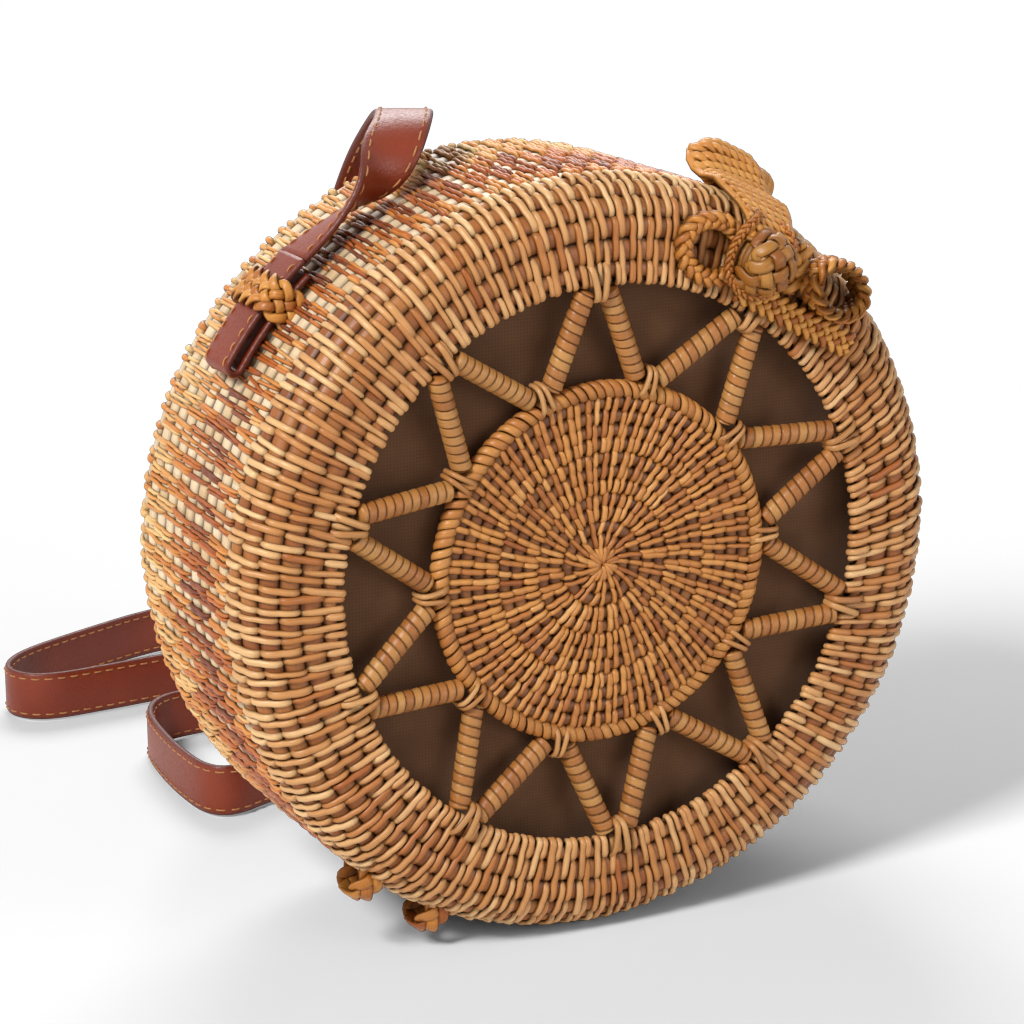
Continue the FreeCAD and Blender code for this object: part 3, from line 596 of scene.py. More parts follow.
def stitches(skin, edges, columns, seed, width, slant, at_radius, tints, shift=0.0, stations=11):
    """Split-cane stitches over coil rows, in pairs, with each end tucked between two rows. The tint follows
    the row where a stitch starts."""
    rng = np.random.default_rng(seed)
    uneven_end = 0.25 * MM
    uneven_height = 0.15 * MM
    uneven_place = 0.07
    uneven_lean = 0.04
    uneven_width = 0.1
    uneven_tint = 0.14
    column, first, last = twill(len(edges) - 1, columns)
    count = len(column)
    along = np.linspace(0, 1, stations)
    start = edges[first] + rng.normal(0, uneven_end, count)
    end = edges[last] + rng.normal(0, uneven_end, count)
    q = start[:, None] + (end - start)[:, None] * along
    place = column - PAIR_SHIFT * (column % 2) + shift + rng.normal(0, uneven_place, count)
    turn = place * TURN / columns
    slope = slant(turn) if callable(slant) else np.full(count, slant)
    middle = q.mean(axis=1)
    lean = (slope + rng.normal(0, uneven_lean, count))[:, None] * (middle[:, None] - q)
    lean = lean + (slope * (edges.mean() - middle))[:, None]
    angle = turn[:, None] + lean / at_radius
    tuck = np.abs(2 * along - 1) ** 8
    dip = STITCH_DIP * (last - first == 2)[:, None] * np.exp(-(((along - 0.5) / 0.1) ** 2))
    top = STITCH_BASE + rng.normal(0, uneven_height, count)[:, None]
    lift = top * (1 - tuck) + STITCH_DIVE * tuck - dip
    line = skin(q, angle, lift)
    up = unit(skin(q, angle, lift + MM) - line)
    across, up = axes(line, up=up)
    half = (width / 2 * (1 + rng.normal(0, uneven_width, count)))[:, None] * (1 - 0.2 * tuck)
    tint = np.interp(first, np.arange(len(tints)), tints) + rng.normal(0, uneven_tint, count)
    tint = np.clip(tint, 0, 1)
    # The tucked ends and the strip's edges get painted shade.
    return sweep(line, across, up, half, STITCH_THICKNESS, STRIP_SECTION, tint, tuck, STRIP_SHADE, seed)


def zoned_stitches(skin, edges, radii, zones, seed, slant, tints, stations):
    """Stitches over zones of coil rows, each zone with its own count of columns and width of strip."""
    patches = []
    for number, (first, last, columns, width) in enumerate(zones):
        rows = edges[first : last + 1]
        lie = (width * MM, slant, radii[(first + last) // 2], tints)
        patches.append(stitches(skin, rows, columns, seed + number, *lie, stations=stations))
    return patches


def edge_wraps(skin, start, end, columns, width, seed, slant):
    """Close wraps of split cane round an edge coil, from one angle round the coil to another."""
    rng = np.random.default_rng(seed)
    stations = 13
    uneven = 0.06
    along = np.linspace(0, 1, stations)
    turn = np.broadcast_to(start + (end - start) * along, (columns, stations))
    place = np.arange(columns) + rng.normal(0, uneven, columns)
    angle = place[:, None] * TURN / columns + slant * along
    dive = 1.2 * MM * (1 - along) ** 8
    lift = np.broadcast_to(rng.normal(0, uneven * MM, columns)[:, None] - dive, angle.shape)
    line = skin(turn, angle, lift)
    up = unit(skin(turn, angle, lift + MM) - line)
    across, up = axes(line, up=up)
    half = (width / 2 * (1 + rng.normal(0, uneven, columns)))[:, None]
    # Painted shade where each wrap dives under, and at its edges.
    tuck = np.broadcast_to((1 - along) ** 6, angle.shape)
    tint = 0.35 + 0.4 * rng.random(columns)
    return sweep(line, across, up, half, 0.7 * MM, STRIP_SECTION, tint, tuck, STRIP_SHADE, seed)


def ring_slant(turn):
    """How far the ring's stitches lean, which changes round the ring as the hand that wove it did."""
    return np.tan(np.radians(-4 - 10 * np.cos(turn - math.radians(10))))


def make_lid_ring():
    """The lid's ring: coil rows, and stitches that start round the window's edge."""
    edges = np.linspace(0, Q_SEAM - 0.15 * MM, LID_ROWS + 1)
    shell_edges = edges.copy()
    shell_edges[0] = EDGE
    shell = coils(drum_skin, shell_edges, BRICK_COLUMNS, COIL_WALL, 1)
    piece("ring_coils", [shell], "lid", RING_COIL, ["lid_ring"])
    edges[0] = -2 * EDGE
    tints = (0.62, 0.3, 0.55, 0.66, 0.85, 0.9)
    rows = stitches(drum_skin, edges, LID_COLUMNS, 2, 1.85 * MM, ring_slant, R, tints, stations=15)
    piece("ring_stitches", [rows], "lid", RING_CANE)


def make_barrel():
    """The barrel's pale coil rows, from the seam to the back rim, with every stitch made of two strips."""
    edges = np.linspace(Q_SEAM + 0.15 * MM, Q_BACK, BARREL_ROWS + 1)
    shell = coils(drum_skin, edges, BRICK_COLUMNS, COIL_WALL, 11)
    piece("barrel_coils", [shell], "shell", BARREL_COIL, ["barrel_wall"])
    tints = (0.52, 0.22, 0.12, 0.3, 0.42, 0.66, 0.8, 0.84, 0.8)
    for name, seed, shift in (("barrel_stitches", 12, -0.15), ("barrel_second_stitches", 13, 0.15)):
        rows = stitches(drum_skin, edges, BARREL_COLUMNS, seed, 1.12 * MM, 0.04, R, tints, shift)
        piece(name, [rows], "shell", BARREL_CANE)


def make_back():
    """The back: the same coil, turned in over the rim and wound to the middle, where stitches are fewer."""
    rim_rows = np.linspace(Q_BACK, Q_PANEL, 3)
    panel_rows = np.linspace(Q_PANEL, Q_CENTRE - 6.2 * MM, 15)[1:]
    edges = np.concatenate([rim_rows, panel_rows, [Q_CENTRE - 0.8 * MM]])
    shell = coils(drum_skin, edges, BRICK_COLUMNS, COIL_WALL, 21)
    piece("back_coils", [shell], "shell", BARREL_COIL, ["back_rim", "back_panel"])
    zones = ((0, 9, 176, 1.9), (9, 13, 96, 1.7), (13, 16, 44, 1.5), (16, 17, 15, 1.3))
    radii = np.maximum(Q_CENTRE - edges, 8 * MM)
    rows = zoned_stitches(drum_skin, edges, radii, zones, 22, 0.08, (0.75,), 9)
    piece("back_stitches", rows, "shell", BARREL_CANE)


def make_medallion():
    """The medallion: a flat coiled disc with fine radial stitches and a wrapped rim."""
    edges = np.linspace(0.8 * MM, MEDALLION, MEDALLION_ROWS + 1)
    thickness = MEDALLION_BACK - MEDALLION_FRONT
    shell_edges = edges.copy()
    shell_edges[-1] = MEDALLION - 1.2 * MM
    shell = coils(medallion_skin, shell_edges, 50, thickness, 31)
    piece("medallion_coils", [shell], "lid", MEDALLION_COIL, ["medallion"])
    zones = ((0, 3, 22, 1.4), (3, 5, 44, 1.6), (5, 8, 68, 1.65), (8, 12, 100, 1.7))
    rows = zoned_stitches(medallion_skin, edges, edges, zones, 32, 0.1, (0.6, 0.35, 0.6, 0.4), 11)
    piece("medallion_stitches", rows, "lid", MEDALLION_CANE)
    half_width = 2.4 * MM
    half_depth = thickness / 2
    middle = (MEDALLION_FRONT + MEDALLION_BACK) / 2
    edge = rolled_edge(MEDALLION - half_width, middle, half_width - 0.2 * MM, half_depth)
    wraps = edge_wraps(edge, math.radians(160), math.radians(-82), 112, 2.35 * MM, 39, 0.09)
    piece("medallion_rim_wraps", [wraps], "lid", MEDALLION_CANE)


def wrapped_rod(start, end, radius, seed):
    """A rod wound from end to end with cane in a close helix, each turn lapping a little over the last."""
    rng = np.random.default_rng(seed)
    pitch = 2.5 * MM
    lap = 0.07
    groove = 0.17
    groove_width = 0.075
    blunt_end = 0.05
    along = end - start
    length = np.linalg.norm(along)
    side = unit(np.cross(along, (0, 1, 0)))
    face = unit(np.cross(side, along))
    stations = 110
    around = 20
    distance = np.linspace(0, length, stations)[:, None]
    turn = np.arange(around)[None, :] * TURN / around
    phase = distance / pitch + turn / TURN + rng.random()
    share = phase % 1
    joint = np.exp(-((np.minimum(share, 1 - share) / groove_width) ** 2))
    past = (np.abs(2 * distance / length - 1) - (1 - blunt_end)) / blunt_end
    blunt = np.sqrt(1 - np.clip(past, 0, 0.97) ** 2)
    reach = radius * (1.05 + lap * (share - 0.5) - groove * joint) * blunt
    points = start + along * (distance / length)[..., None] + side * (reach * np.sin(turn))[..., None]
    points = points + face * (reach * np.cos(turn))[..., None]
    tints = rng.random(64)[np.floor(phase[:-1]).astype(int)]
    # Painted shade in the joints between turns, where each turn laps over the last.
    return patch(points[None], tints[None], joint[None], distance, turn * radius + 0.2 * np.floor(phase))


def lashing(route, edge, front, spread, angle):
    """One lashing strip's line, on one side of a fork of two rods at an angle round the drum."""
    points = [(edge + out * MM, front + behind * MM, spread * aside * MM) for out, behind, aside in route]
    return nurbs(rim(points, angle))


def make_star():
    """Twenty wrapped rods in a ten-pointed zigzag, lashed to the ring and to the medallion."""
    points = 10
    rod_radius = 2.6 * MM
    aside = rod_radius + 0.3 * MM
    outer = WINDOW - 0.6 * MM
    inner = MEDALLION + 1.2 * MM
    outer_depth = FRONT + COIL_WALL / 2
    inner_depth = MEDALLION_FRONT + 2.0 * MM
    half_step = math.pi / points
    outer_strips = []
    inner_strips = []
    for point in range(points):
        angle = CLASP + point * TURN / points
        for side in (-1, 1):
            number = 2 * point + (1 if side < 0 else 2)
            start = drum(outer, angle + side * aside / outer, outer_depth)
            end = drum(inner, angle + side * (half_step - aside / inner), inner_depth)
            rod = wrapped_rod(start, end, rod_radius, 40 + number)
            node = f"star_rod_{number:02d}"
            piece(f"wrapped_rod_{number:02d}", [rod], "lid", ROD_CANE, [node])
        fork = angle + half_step
        for spread in (-1, 1):
            outer_strips.append(lashing(OUTER_LASHING, WINDOW, FRONT, spread, angle))
            inner_strips.append(lashing(INNER_LASHING, MEDALLION, MEDALLION_FRONT, spread, fork))
    for name, strips, way, turned, half_width, node in (
        ("outer_lashing_strips", outer_strips, 1, 0.0, 0.95 * MM, "outer_lashings"),
        ("inner_lashing_strips", inner_strips, -1, half_step, 0.75 * MM, "inner_lashings"),
    ):
        rng = np.random.default_rng(71)
        line = np.stack(strips)
        angles = CLASP + np.repeat(np.arange(points), 2) * TURN / points + turned
        hint = np.stack([rim_way((0, 0, way), angle) for angle in angles])[:, None]
        across, up = axes(line, across=hint)
        tint = rng.random(len(line))
        strip = sweep(line, across, up, half_width, 0.8 * MM, STRIP_SECTION, tint, 0.0, STRIP_SHADE, 71)
        piece(name, [strip], "lid", LASHING_CANE, [node])


def plait(line, across, up, strands, width, seed, repeat=2.0, thickness=1.15 * MM, loop=False, crown=0.0):
    """A plait along a line, each strand over one and under the next; crown bends its edges down."""
    rng = np.random.default_rng(seed)
    strand_lap = 1.12
    sharpness = 0.985
    lift = 0.62
    distance = lengths(line)
    share = distance / distance[-1]
    turns = distance[-1] / (repeat * np.mean(width))
    turns = round(turns) if loop else turns
    wide = np.broadcast_to(width, distance.shape)
    strand = strand_lap * wide / strands
    crossings = np.array([k for k in range(-2 * strands, 4 * strands) if k % strands])
    over = np.where((crossings // strands) % 2 == 0, 1, -1) * np.where(crossings % 2 == 0, 1, -1)
    patches = []
    for number in range(strands):
        phase = (share * turns + number / strands) % 1
        swing = np.arcsin(sharpness * np.cos(TURN * phase)) / math.asin(sharpness)
        sideways = (wide - strand) / 2 * swing
        height = np.sin(math.pi / 2 * np.interp(phase, crossings / (2 * strands), over)) * thickness * lift
        centre = line + across * sideways[:, None] + up * (height - crown * sideways**2)[:, None]
        facing = unit(up + across * (2 * crown * sideways)[:, None])
        strand_across, strand_up = axes(centre, up=facing)
        sides = (strand_across[None], strand_up[None], strand[None] / 2, thickness / 2)
        tint = rng.random(1)
        patches.append(sweep(centre[None], *sides, STRAND_SECTION, tint, 0.0, STRAND_SHADE, seed + number))
    return patches


def plaited(name, line, body, node, strands, width, seed, hint=None, up=None, material=PLAIT_CANE, **look):
    """A piece that is one plait along a line, with a hint for its across or up direction."""
    across, up = axes(line, across=hint, up=up)
    line, across, up = resampled(0.5 * MM, line, across, up)
    patches = plait(line, unit(across), unit(up), strands, width, seed, **look)
    piece(name, patches, body, material, [node])


def make_hinges():
    """Two plaited rings that run through both edges of the seam."""
    turn = np.linspace(0, TURN, 90)
    reach = 4.8 * MM
    apart = 11 * MM
    width = 8.6 * MM
    radius = R + 0.15 * MM + reach * np.cos(turn)
    depth = SEAM + reach * np.sin(turn)
    look = {"hint": rim_way((0, 0, -1), HINGE), "loop": True}
    for number, side in ((1, -1), (2, 1)):
        line = rim(np.stack([radius, depth, np.full_like(turn, side * apart)], axis=-1), HINGE)
        node = f"hinge_ring_{number}"
        plaited(f"hinge_plait_{number}", line, "shell", node, 3, width, 80 + number, **look)


def make_ears():
    """The bow's ears: a loop that lies flat on the left, and a wider plait on edge on the right."""
    turn = np.linspace(0, TURN, 120)
    left_high = 7.2 * MM
    left_wide = 8.6 * MM
    left_plait = 5.2 * MM
    radius = KNOT - 1.9 * MM + left_high * np.cos(turn)
    depth = np.full_like(turn, FRONT - 2.1 * MM)
    aside = 11.6 * MM + left_wide * np.sin(turn)
    line = rim(np.stack([radius, depth, aside], axis=-1), BOW)
    look = {"up": TOWARDS_FRONT, "loop": True, "thickness": 2.2 * MM, "repeat": 1.7}
    plaited("ear_plait_left", line, "lid", "bow_ear_left", 3, left_plait, 91, **look)
    right_high = 6.1 * MM
    right_wide = 9.3 * MM
    right_plait = 9 * MM
    radius = KNOT + 2.2 * MM + right_high * np.cos(turn)
    depth = FRONT - 3.4 * MM + MM * (0.9 * np.cos(turn) - 2.3 * np.sin(turn))
    aside = -26.6 * MM + right_wide * np.sin(turn)
    line = rim(np.stack([radius, depth, aside], axis=-1), BOW)
    look = {"hint": -TOWARDS_FRONT, "loop": True, "thickness": 1.9 * MM, "repeat": 1.6}
    plaited("ear_plait_right", line, "lid", "bow_ear_right", 5, right_plait, 92, **look)


def make_tail():
    """The tail, a flat plait across below the knot."""
    width = 7.6 * MM
    level = FRONT - 3.0 * MM
    middle = KNOT - 8.95 * MM
    route = [
        (middle + 1.0 * MM, level, 0),
        (middle + 0.4 * MM, level - 0.6 * MM, -10 * MM),
        (middle, level - 0.6 * MM, -20 * MM),
        (middle, level, -30 * MM),
        (middle - 0.4 * MM, level + 0.6 * MM, -38 * MM),
    ]
    look = {"up": TOWARDS_FRONT, "thickness": 1.6 * MM}
    plaited("tail_plait", nurbs(rim(route, BOW)), "lid", "bow_tail", 5, width, 93, **look)


def make_knot():
    """The knot: a plait arched over a wound core, and the pad beside it."""
    width = 15 * MM
    half_length = 7.6 * MM
    squareness = 0.8
    arch = np.linspace(-0.12, math.pi + 0.12, 80)
    top = knot_low.y
    rise = FRONT - 3.0 * MM - top
    radius = KNOT + half_length * np.sign(np.cos(arch)) * np.abs(np.cos(arch)) ** squareness
    depth = top + rise * (1 - np.sign(np.sin(arch)) * np.abs(np.sin(arch)) ** squareness)
    line = rim(np.stack([radius, depth, np.zeros_like(arch)], axis=-1), BOW)
    look = {"thickness": 1.5 * MM, "crown": KNOT_CROWN, "material": SHADED_KNOT_CANE}
    plaited("knot_plait", line, "lid", "bow_knot", 5, width, 94, hint=rim_way((0, 0, 1), BOW), **look)
    make_knot_core(rise)
    pad_width = 9 * MM
    level = FRONT - 2.4 * MM
    aside = -12.4 * MM
    pad = [
        (KNOT + 9 * MM, level + 1.0 * MM, aside),
        (KNOT + 7 * MM, level, aside),
        (KNOT, level - 0.4 * MM, aside),
        (KNOT - 4 * MM, level, aside),
    ]
    look = {"up": TOWARDS_FRONT, "thickness": 1.5 * MM}
    plaited("pad_plait", nurbs(rim(pad, BOW)), "lid", "bow_base", 4, pad_width, 99, **look)


def make_knot_core(rise):
    """The wound core under the knot's plait, which fills its sides, seated on the ring."""
    stations = 40
    around = 24
    winds = 7
    climb = np.linspace(0, 1, stations)
    turn = np.arange(around) * TURN / around
    wave = np.cos(climb * TURN * winds)
    swell = np.sqrt(np.clip(1 - (1.06 * climb - 0.3) ** 4, 0.02, 1)) * (1 + 0.05 * wave)
    radius = KNOT + 6.6 * MM * np.cos(turn)[None, :] * swell[:, None]
    aside = 5.9 * MM * np.sin(turn)[None, :] * swell[:, None]
    depth = np.broadcast_to((FRONT - 0.2 * MM - (rise + 1.6 * MM) * climb)[:, None], radius.shape)
    points = rim(np.stack([radius, depth, aside], axis=-1), BOW)[None]
    # Painted shade in the hollows between the winds.
    dark = 0.3 - 0.3 * wave
    tint = np.random.default_rng(95).random((1, stations - 1, 1))
    core = patch(points, tint, dark[None, :, None], climb[:, None] * rise, (turn * 7 * MM)[None, :])
    piece("knot_core", [core], "lid", SHADED_KNOT_CANE)


def twined(line, across, up, width, bend, seed):
    """Twining: rows of two strands twisted round each other along a band whose edges bend down."""
    rng = np.random.default_rng(seed)
    twist = 5 * MM
    reach = 0.65 * MM
    half_width = 1.1 * MM
    ahead = np.cross(across, up)
    share = np.linspace(-0.5, 0.5, 48)
    out = np.abs(2 * share)
    drop = (bend[:, None] * out**EDGE_CURL)[..., None]
    slope = (bend / width)[:, None] * 2 * EDGE_CURL * np.sign(share) * out ** (EDGE_CURL - 1)
    middle = line[:, None] + across[:, None] * (width[:, None] * share)[..., None] - up[:, None] * drop
    facing = unit(up[:, None] + across[:, None] * slope[..., None])
    start = rng.random((len(line), 1)) * 0.8
    patches = []
    for number in (0, 1):
        turn = (width[:, None] * share / twist + start + number / 2) * TURN
        sideways = np.sin(turn)[..., None] * ahead[:, None]
        centre = middle + reach * (np.cos(turn)[..., None] * facing + sideways)
        strand_across, strand_up = axes(centre, up=facing)
        tint = 0.35 + 0.4 * rng.random(len(line))
        sides = (strand_across, strand_up, half_width, 0.7 * MM)
        patches.append(sweep(centre, *sides, STRAND_SECTION, tint, 0.0, STRAND_SHADE, seed))
    for side in (0, -1):
        edge = middle[:, side][None]
        sides = (*axes(edge, up=facing[:, side][None]), half_width, 0.8 * MM)
        patches.append(sweep(edge, *sides, STRAND_SECTION, [0.45], 0.0, STRAND_SHADE, seed))
    return patches


def make_roll():
    """The roll behind the seam, wound from end to end with a narrow strip over a plain core."""
    aside = 2.5 * MM
    turns = 15
    half = 10.5 * MM
    stations = 26 * turns
    share = np.linspace(-1, 1, 400)
    swell = ROLL_RADIUS * 0.9 * (1 - np.abs(share) ** 5) ** 0.45
    run = lengths(np.stack([half * share, swell, 0 * share], axis=-1))
    step = np.linspace(0, run[-1], stations)
    place = np.interp(step, run, half * share)
    reach = np.interp(step, run, swell)
    turn = np.linspace(0, TURN * turns, stations)
    radius = ROLL + reach * np.cos(turn)
    depth = ROLL_DEPTH - reach * np.sin(turn)
    line = rim(np.stack([radius, depth, place - aside], axis=-1), BOW)
    straight = half - 4 * MM
    middle = np.broadcast_to((ROLL, ROLL_DEPTH, -aside), line.shape).copy()
    middle[:, 2] += np.clip(place, -straight, straight)
    across, up = axes(line, up=unit(line - rim(middle, BOW)))
    sides = (across[None], up[None], 1.05 * MM, 0.6 * MM)
    wraps = sweep(line[None], *sides, STRIP_SECTION, [0.55], 0.0, STRIP_SHADE, 96)
    rows = np.arange(0, stations, 12)
    around = 20
    core_turn = np.arange(around) * TURN / around
    core_reach = 0.95 * reach[rows, None]
    radius = ROLL + core_reach * np.cos(core_turn)
    depth = ROLL_DEPTH - core_reach * np.sin(core_turn)
    core = np.stack([radius, depth, np.broadcast_to(place[rows, None] - aside, radius.shape)], axis=-1)
    # The plain core between the wraps is darkened with painted shade.
    roll = patch(rim(core, BOW)[None], 0.3, 0.6, step[rows, None], (core_turn * ROLL_RADIUS)[None, :])
    piece("roll_wraps", [wraps, roll], "shell", PLAIT_CANE, ["closure_anchor"])


def make_closure():
    """The twined band that turns on the roll and narrows towards the knot, and its loop round the knot."""
    band_radius = ROLL_RADIUS + 0.7 * MM
    fan = []
    for over in np.radians(np.linspace(20, 54, 5)):
        radius = ROLL + band_radius * math.cos(over)
        fan.append((radius, ROLL_DEPTH - band_radius * math.sin(over), 3 * MM))
    fan += [
        (R + 4.6 * MM, SEAM + 2.4 * MM, 2.4 * MM),
        (R + 2.8 * MM, SEAM - 1 * MM, 1.6 * MM),
        (R + 2.0 * MM, FRONT + 8 * MM, 0.8 * MM),
        (R - 0.8 * MM, FRONT + 2 * MM, 0.0),
        (R - 3.5 * MM, FRONT - 2.5 * MM, 0.0),
        (KNOT + 8 * MM, FRONT - 6.0 * MM, 0.0),
        (KNOT + 5 * MM, FRONT - 6.8 * MM, 0.0),
    ]
    line = nurbs(rim(fan, BOW))
    across, up = axes(line, across=rim_way((0, 0, 1), BOW))
    line, across, up = resampled(2.4 * MM, line, across, up)
    share = np.linspace(0, 1, len(line))
    width = MM * np.interp(share, (0, 0.12, 0.5, 0.75, 1), (20, 24, 23, 15, 11))
    bend = MM * np.interp(share, (0, 0.12, 0.25, 0.4, 1), (4.5, 4, 2, 0.5, 0))
    fan_rows = twined(line, unit(across), unit(up), width, bend, 97)
    piece("fan_twining", fan_rows, "closure", TWINED_CANE)
    level = FRONT - 6.6 * MM
    side = [
        (R - 3 * MM, FRONT - 3.4 * MM, 4.0 * MM),
        (KNOT + 10 * MM, level, 5.5 * MM),
        (KNOT + 5 * MM, level, 8.4 * MM),
        (KNOT - 2 * MM, level, 8.8 * MM),
        (KNOT - 7.4 * MM, level, 6.4 * MM),
    ]
    other = [(radius, depth, -out) for radius, depth, out in reversed(side)]
    line = nurbs(rim(side + [(KNOT - 9.2 * MM, level, 0.0)] + other, BOW))
    look = {"up": TOWARDS_FRONT, "thickness": 1.1 * MM}
    plaited("loop_plait", line, "closure", "closure_loop", 3, 2.8 * MM, 98, **look)


def make_keepers():
    """The plaited bridges that hold the strap's folded ends to the drum."""
    climb = [(-3, 9.4), (3, 9.6), (6.4, 9.4), (7.6, 6)]
    bridge = [(R + rise * MM, MIDDLE - reach * MM, 0.0) for rise, reach in climb]
    bridge.append((R + 7.8 * MM, MIDDLE, 0.0))
    bridge += [(R + rise * MM, MIDDLE + reach * MM, 0.0) for rise, reach in reversed(climb)]
    for side, angle, seed in (("left", LEFT_KEEPER, 101), ("right", RIGHT_KEEPER, 102)):
        line = nurbs(rim(bridge, angle))
        look = {"hint": rim_way((0, 0, -1), angle), "thickness": 1.4 * MM}
        plaited(f"keeper_plait_{side}", line, "shell", f"strap_keeper_{side}", 5, 11 * MM, seed, **look)


def strap_section():
    """A flat strap's outline: nearly square edges, rounded over, with a slight crown."""
    turn = np.linspace(0, TURN, 20, endpoint=False) + math.pi
    sideways = np.sign(np.cos(turn)) * np.abs(np.cos(turn)) ** 0.3
    upwards = -np.sign(np.sin(turn)) * np.abs(np.sin(turn)) ** 0.5
    return np.stack([sideways, upwards], axis=-1)


def strap_patch(line, across, up, seed):
    """A length of strap along a line, with painted shade darkening its cut edges."""
    section = strap_section()
    shade = 0.7 * np.abs(section[:, 0]) ** 12
    sides = (across[None], up[None], STRAP_WIDTH / 2, STRAP_THICKNESS / 2)
    return sweep(line[None], *sides, section, [0.5], 0.0, shade, seed)


def strap_threads(line, across, up, faces=(1, -1)):
    """Stitches along both edges of a strap, on the given faces."""
    distance = lengths(line)
    starts = np.arange(THREAD_PITCH / 2, distance[-1] - THREAD_LENGTH, THREAD_PITCH)
    places = starts[:, None] + np.linspace(0, THREAD_LENGTH, 5)
    level = STRAP_THICKNESS / 2 + np.array([-0.5, 0.05, 0.16, 0.05, -0.5]) * MM
    inset = STRAP_WIDTH / 2 - THREAD_FROM_EDGE
    middle, sideways, upwards = (taken(places, distance, values) for values in (line, across, up))
    tint = np.full(len(starts), 0.5)
    patches = []
    for face in faces:
        for edge in (-1, 1):
            centre = middle + edge * inset * sideways + face * level[:, None] * upwards
            sides = (*axes(centre, up=face * upwards), THREAD_WIDTH / 2, THREAD_WIDTH / 2)
            patches.append(sweep(centre, *sides, STRAND_SECTION, tint))
    return patches


def strap_exit(angle, side):
    """Where the free strap leaves its folded end."""
    turn = angle - side * EXIT_REACH / R
    return drum(R + STRAP_BED + STRAP_THICKNESS * 1.5 + FOLD_GAP, turn, MIDDLE)


def make_strap():
    """The free strap along its route, its two ends folded under the keepers, and their stitching."""
    first = strap_exit(LEFT_KEEPER, 1)
    last = strap_exit(RIGHT_KEEPER, -1)
    route = [first] + [(x, MIDDLE + behind, z) for x, behind, z, _ in STRAP_ROUTE] + [last]
    ways = [(0, -1, 0)] + [way for _, _, _, way in STRAP_ROUTE] + [(0, 1, 0)]
    line = nurbs(route)
    across, up = axes(line, across=unit(nurbs(ways)))
    band = strap_patch(line, across, up, 110)
    strap = piece("strap_band", [band], "shell", LEATHER, ["strap"])
    threads = piece("strap_stitching", strap_threads(line, across, up), "shell", THREAD)
    inner = R + STRAP_BED + STRAP_THICKNESS / 2
    outer = inner + STRAP_THICKNESS + FOLD_GAP
    fold_radius = (outer - inner) / 2
    bend = np.linspace(0, math.pi, 14)[1:-1]
    way_out = np.linspace(-EXIT_REACH, FOLD_REACH, 30)
    way_in = np.linspace(FOLD_REACH, -TAIL_REACH, 30)
    turned = inner + fold_radius * (1 + np.cos(bend))
    radius = np.concatenate([np.full_like(way_out, outer), turned, np.full_like(way_in, inner)])
    arc = np.concatenate([way_out, FOLD_REACH + fold_radius * np.sin(bend), way_in])
    for name, angle, side in (("left", LEFT_KEEPER, 1), ("right", RIGHT_KEEPER, -1)):
        line = drum(radius, angle + side * arc / R, MIDDLE)
        across, up = axes(line, across=np.array((0.0, side, 0.0)))
        fold = strap_patch(line, across, up, 111)
        piece(f"strap_fold_{name}", [fold], "shell", LEATHER, [f"strap_end_{name}"])
        threads = strap_threads(line, across, up, (1,))
        piece(f"fold_stitching_{name}", threads, "shell", THREAD)


def cloth_disc(radius, depth, thickness, ripple, seed):
    """A thin round cloth across the drum, stretched, with slight slack ripples."""
    rng = np.random.default_rng(seed)
    rings = 40
    spokes = 96
    share = np.linspace(0.002, 1, rings)[None, :]
    angle = np.arange(spokes)[:, None] * TURN / spokes
    wave = sum(
        np.cos(angle * number + rng.random() * TURN) * np.sin(share * math.pi * (1 + rng.random()))
        for number in (2, 3, 5)
    )
    front = depth + ripple * wave * share * (1 - share) * 2
    faces = [drum(radius * share, angle, front), drum(radius * share, angle, front + thickness)[:, ::-1]]
    points = np.concatenate(faces, axis=1)[None]
    return patch(points, 0.5, 0.0, 0.0, 0.0, loop=True)


def make_linings():
    """Brown cloth stretched behind the star, round the inside of the barrel and across its back."""
    thickness = 0.5 * MM
    for name, node, body, ripple, seed in (
        ("lid_cloth", "lid_lining", "lid", 0.3 * MM, 121),
        ("base_cloth", "body_lining_base", "shell", 0.4 * MM, 122),
    ):
        low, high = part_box(node)
        radius = (high.x - low.x) / 2
        disc = cloth_disc(radius, low.y, thickness, ripple, seed)
        made = piece(name, [disc], body, CLOTH, [node])
    low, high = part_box("body_lining_wall")
    radius = (high.x - low.x) / 2
    depths = np.linspace(low.y, high.y, 24)
    angle = np.linspace(0, TURN, 160, endpoint=False)[:, None]
    hem = 0.5 * MM * np.exp(-((depths - depths[0]) / (2 * MM)) ** 2)
    inward = (depths - depths[0]) / (depths[-1] - depths[0])
    slack = 0.25 * MM * np.cos(angle * 23) * np.sin(inward * math.pi)
    inside = radius - thickness - hem - slack
    rounds = [drum(inside, angle, depths), drum(np.full_like(inside, radius), angle, depths)[:, ::-1]]
    band = patch(np.concatenate(rounds, axis=1)[None], 0.5, 0.0, 0.0, 0.0, loop=True)
    made = piece("wall_cloth", [band], "shell", CLOTH, ["body_lining_wall"])


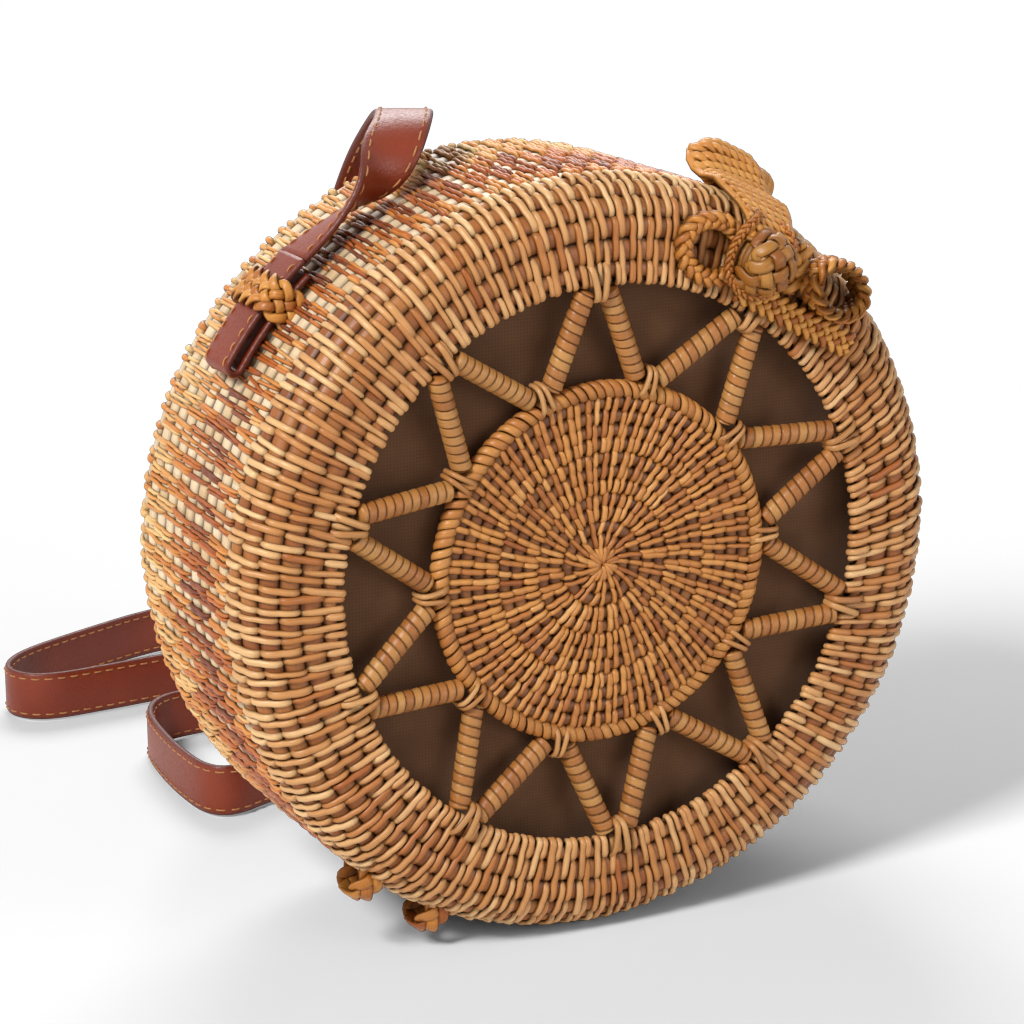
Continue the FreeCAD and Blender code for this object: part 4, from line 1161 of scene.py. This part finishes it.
def make_stage():
    """A pale floor that keeps the shadow, a white surround, soft lamps and the camera."""
    low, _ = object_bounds()
    side = 3.0
    mesh = bpy.data.meshes.new("floor")
    corners = [(-side, -side, low.z), (side, -side, low.z), (side, side, low.z), (-side, side, low.z)]
    mesh.from_pydata(corners, [], [(0, 1, 2, 3)])
    material, tree = new_material("pale_floor")
    shader = add(tree, "BsdfDiffuse", {"Color": linear("#f4f2ef")})
    add(tree, "OutputMaterial", {"Surface": shader.outputs["BSDF"]})
    mesh.materials.append(material)
    floor = placed("floor", mesh)
    floor.is_shadow_catcher = True
    floor.visible_shadow = False

    world = bpy.data.worlds.new("white_surround")
    bpy.context.scene.world = world
    world.use_nodes = True
    tree = world.node_tree
    tree.nodes.clear()
    path = add(tree, "LightPath", {})
    seen = add(tree, "Math", {0: path.outputs["Is Camera Ray"], 1: path.outputs["Is Glossy Ray"]})
    white = add(tree, "Math", {0: seen.outputs["Value"], 1: path.outputs["Is Transmission Ray"]})
    level = add(tree, "MapRange", {"Value": white.outputs["Value"], "To Min": 0.2, "To Max": 1.0})
    glow = add(tree, "Background", {"Color": (1, 1, 1, 1), "Strength": level.outputs["Result"]})
    add(tree, "OutputWorld", {"Surface": glow.outputs["Background"]})

    for name, place, size, power in (
        ("key", (-1.1, -0.55, 1.12), 0.4, 25),
        ("fill", (0.8, -1.2, 0.4), 0.8, 6),
        ("back", (0.3, 0.9, 0.9), 0.6, 8),
    ):
        lamp = bpy.data.lights.new(name, "AREA")
        lamp.size = size
        lamp.energy = power
        holder = placed(name, lamp)
        holder.location = place
        aim = holder.location - Vector((0, 0, AXIS_Z))
        holder.rotation_euler = aim.to_track_quat("Z", "Y").to_euler()

    camera = placed("camera", bpy.data.cameras.new("camera"))
    camera.location = CAMERA_PLACE
    aim = Vector(CAMERA_AIM) - camera.location
    camera.rotation_euler = aim.to_track_quat("-Z", "Y").to_euler()
    camera.data.sensor_fit = "HORIZONTAL"
    camera.data.angle = CAMERA_FIELD
    bpy.context.scene.camera = camera
    bpy.context.scene.view_settings.view_transform = "Standard"


make_lid_ring()
make_barrel()
make_back()
make_medallion()
make_star()
make_hinges()
make_ears()
make_tail()
make_knot()
make_roll()
make_closure()
make_keepers()
make_strap()
make_linings()
make_stage()
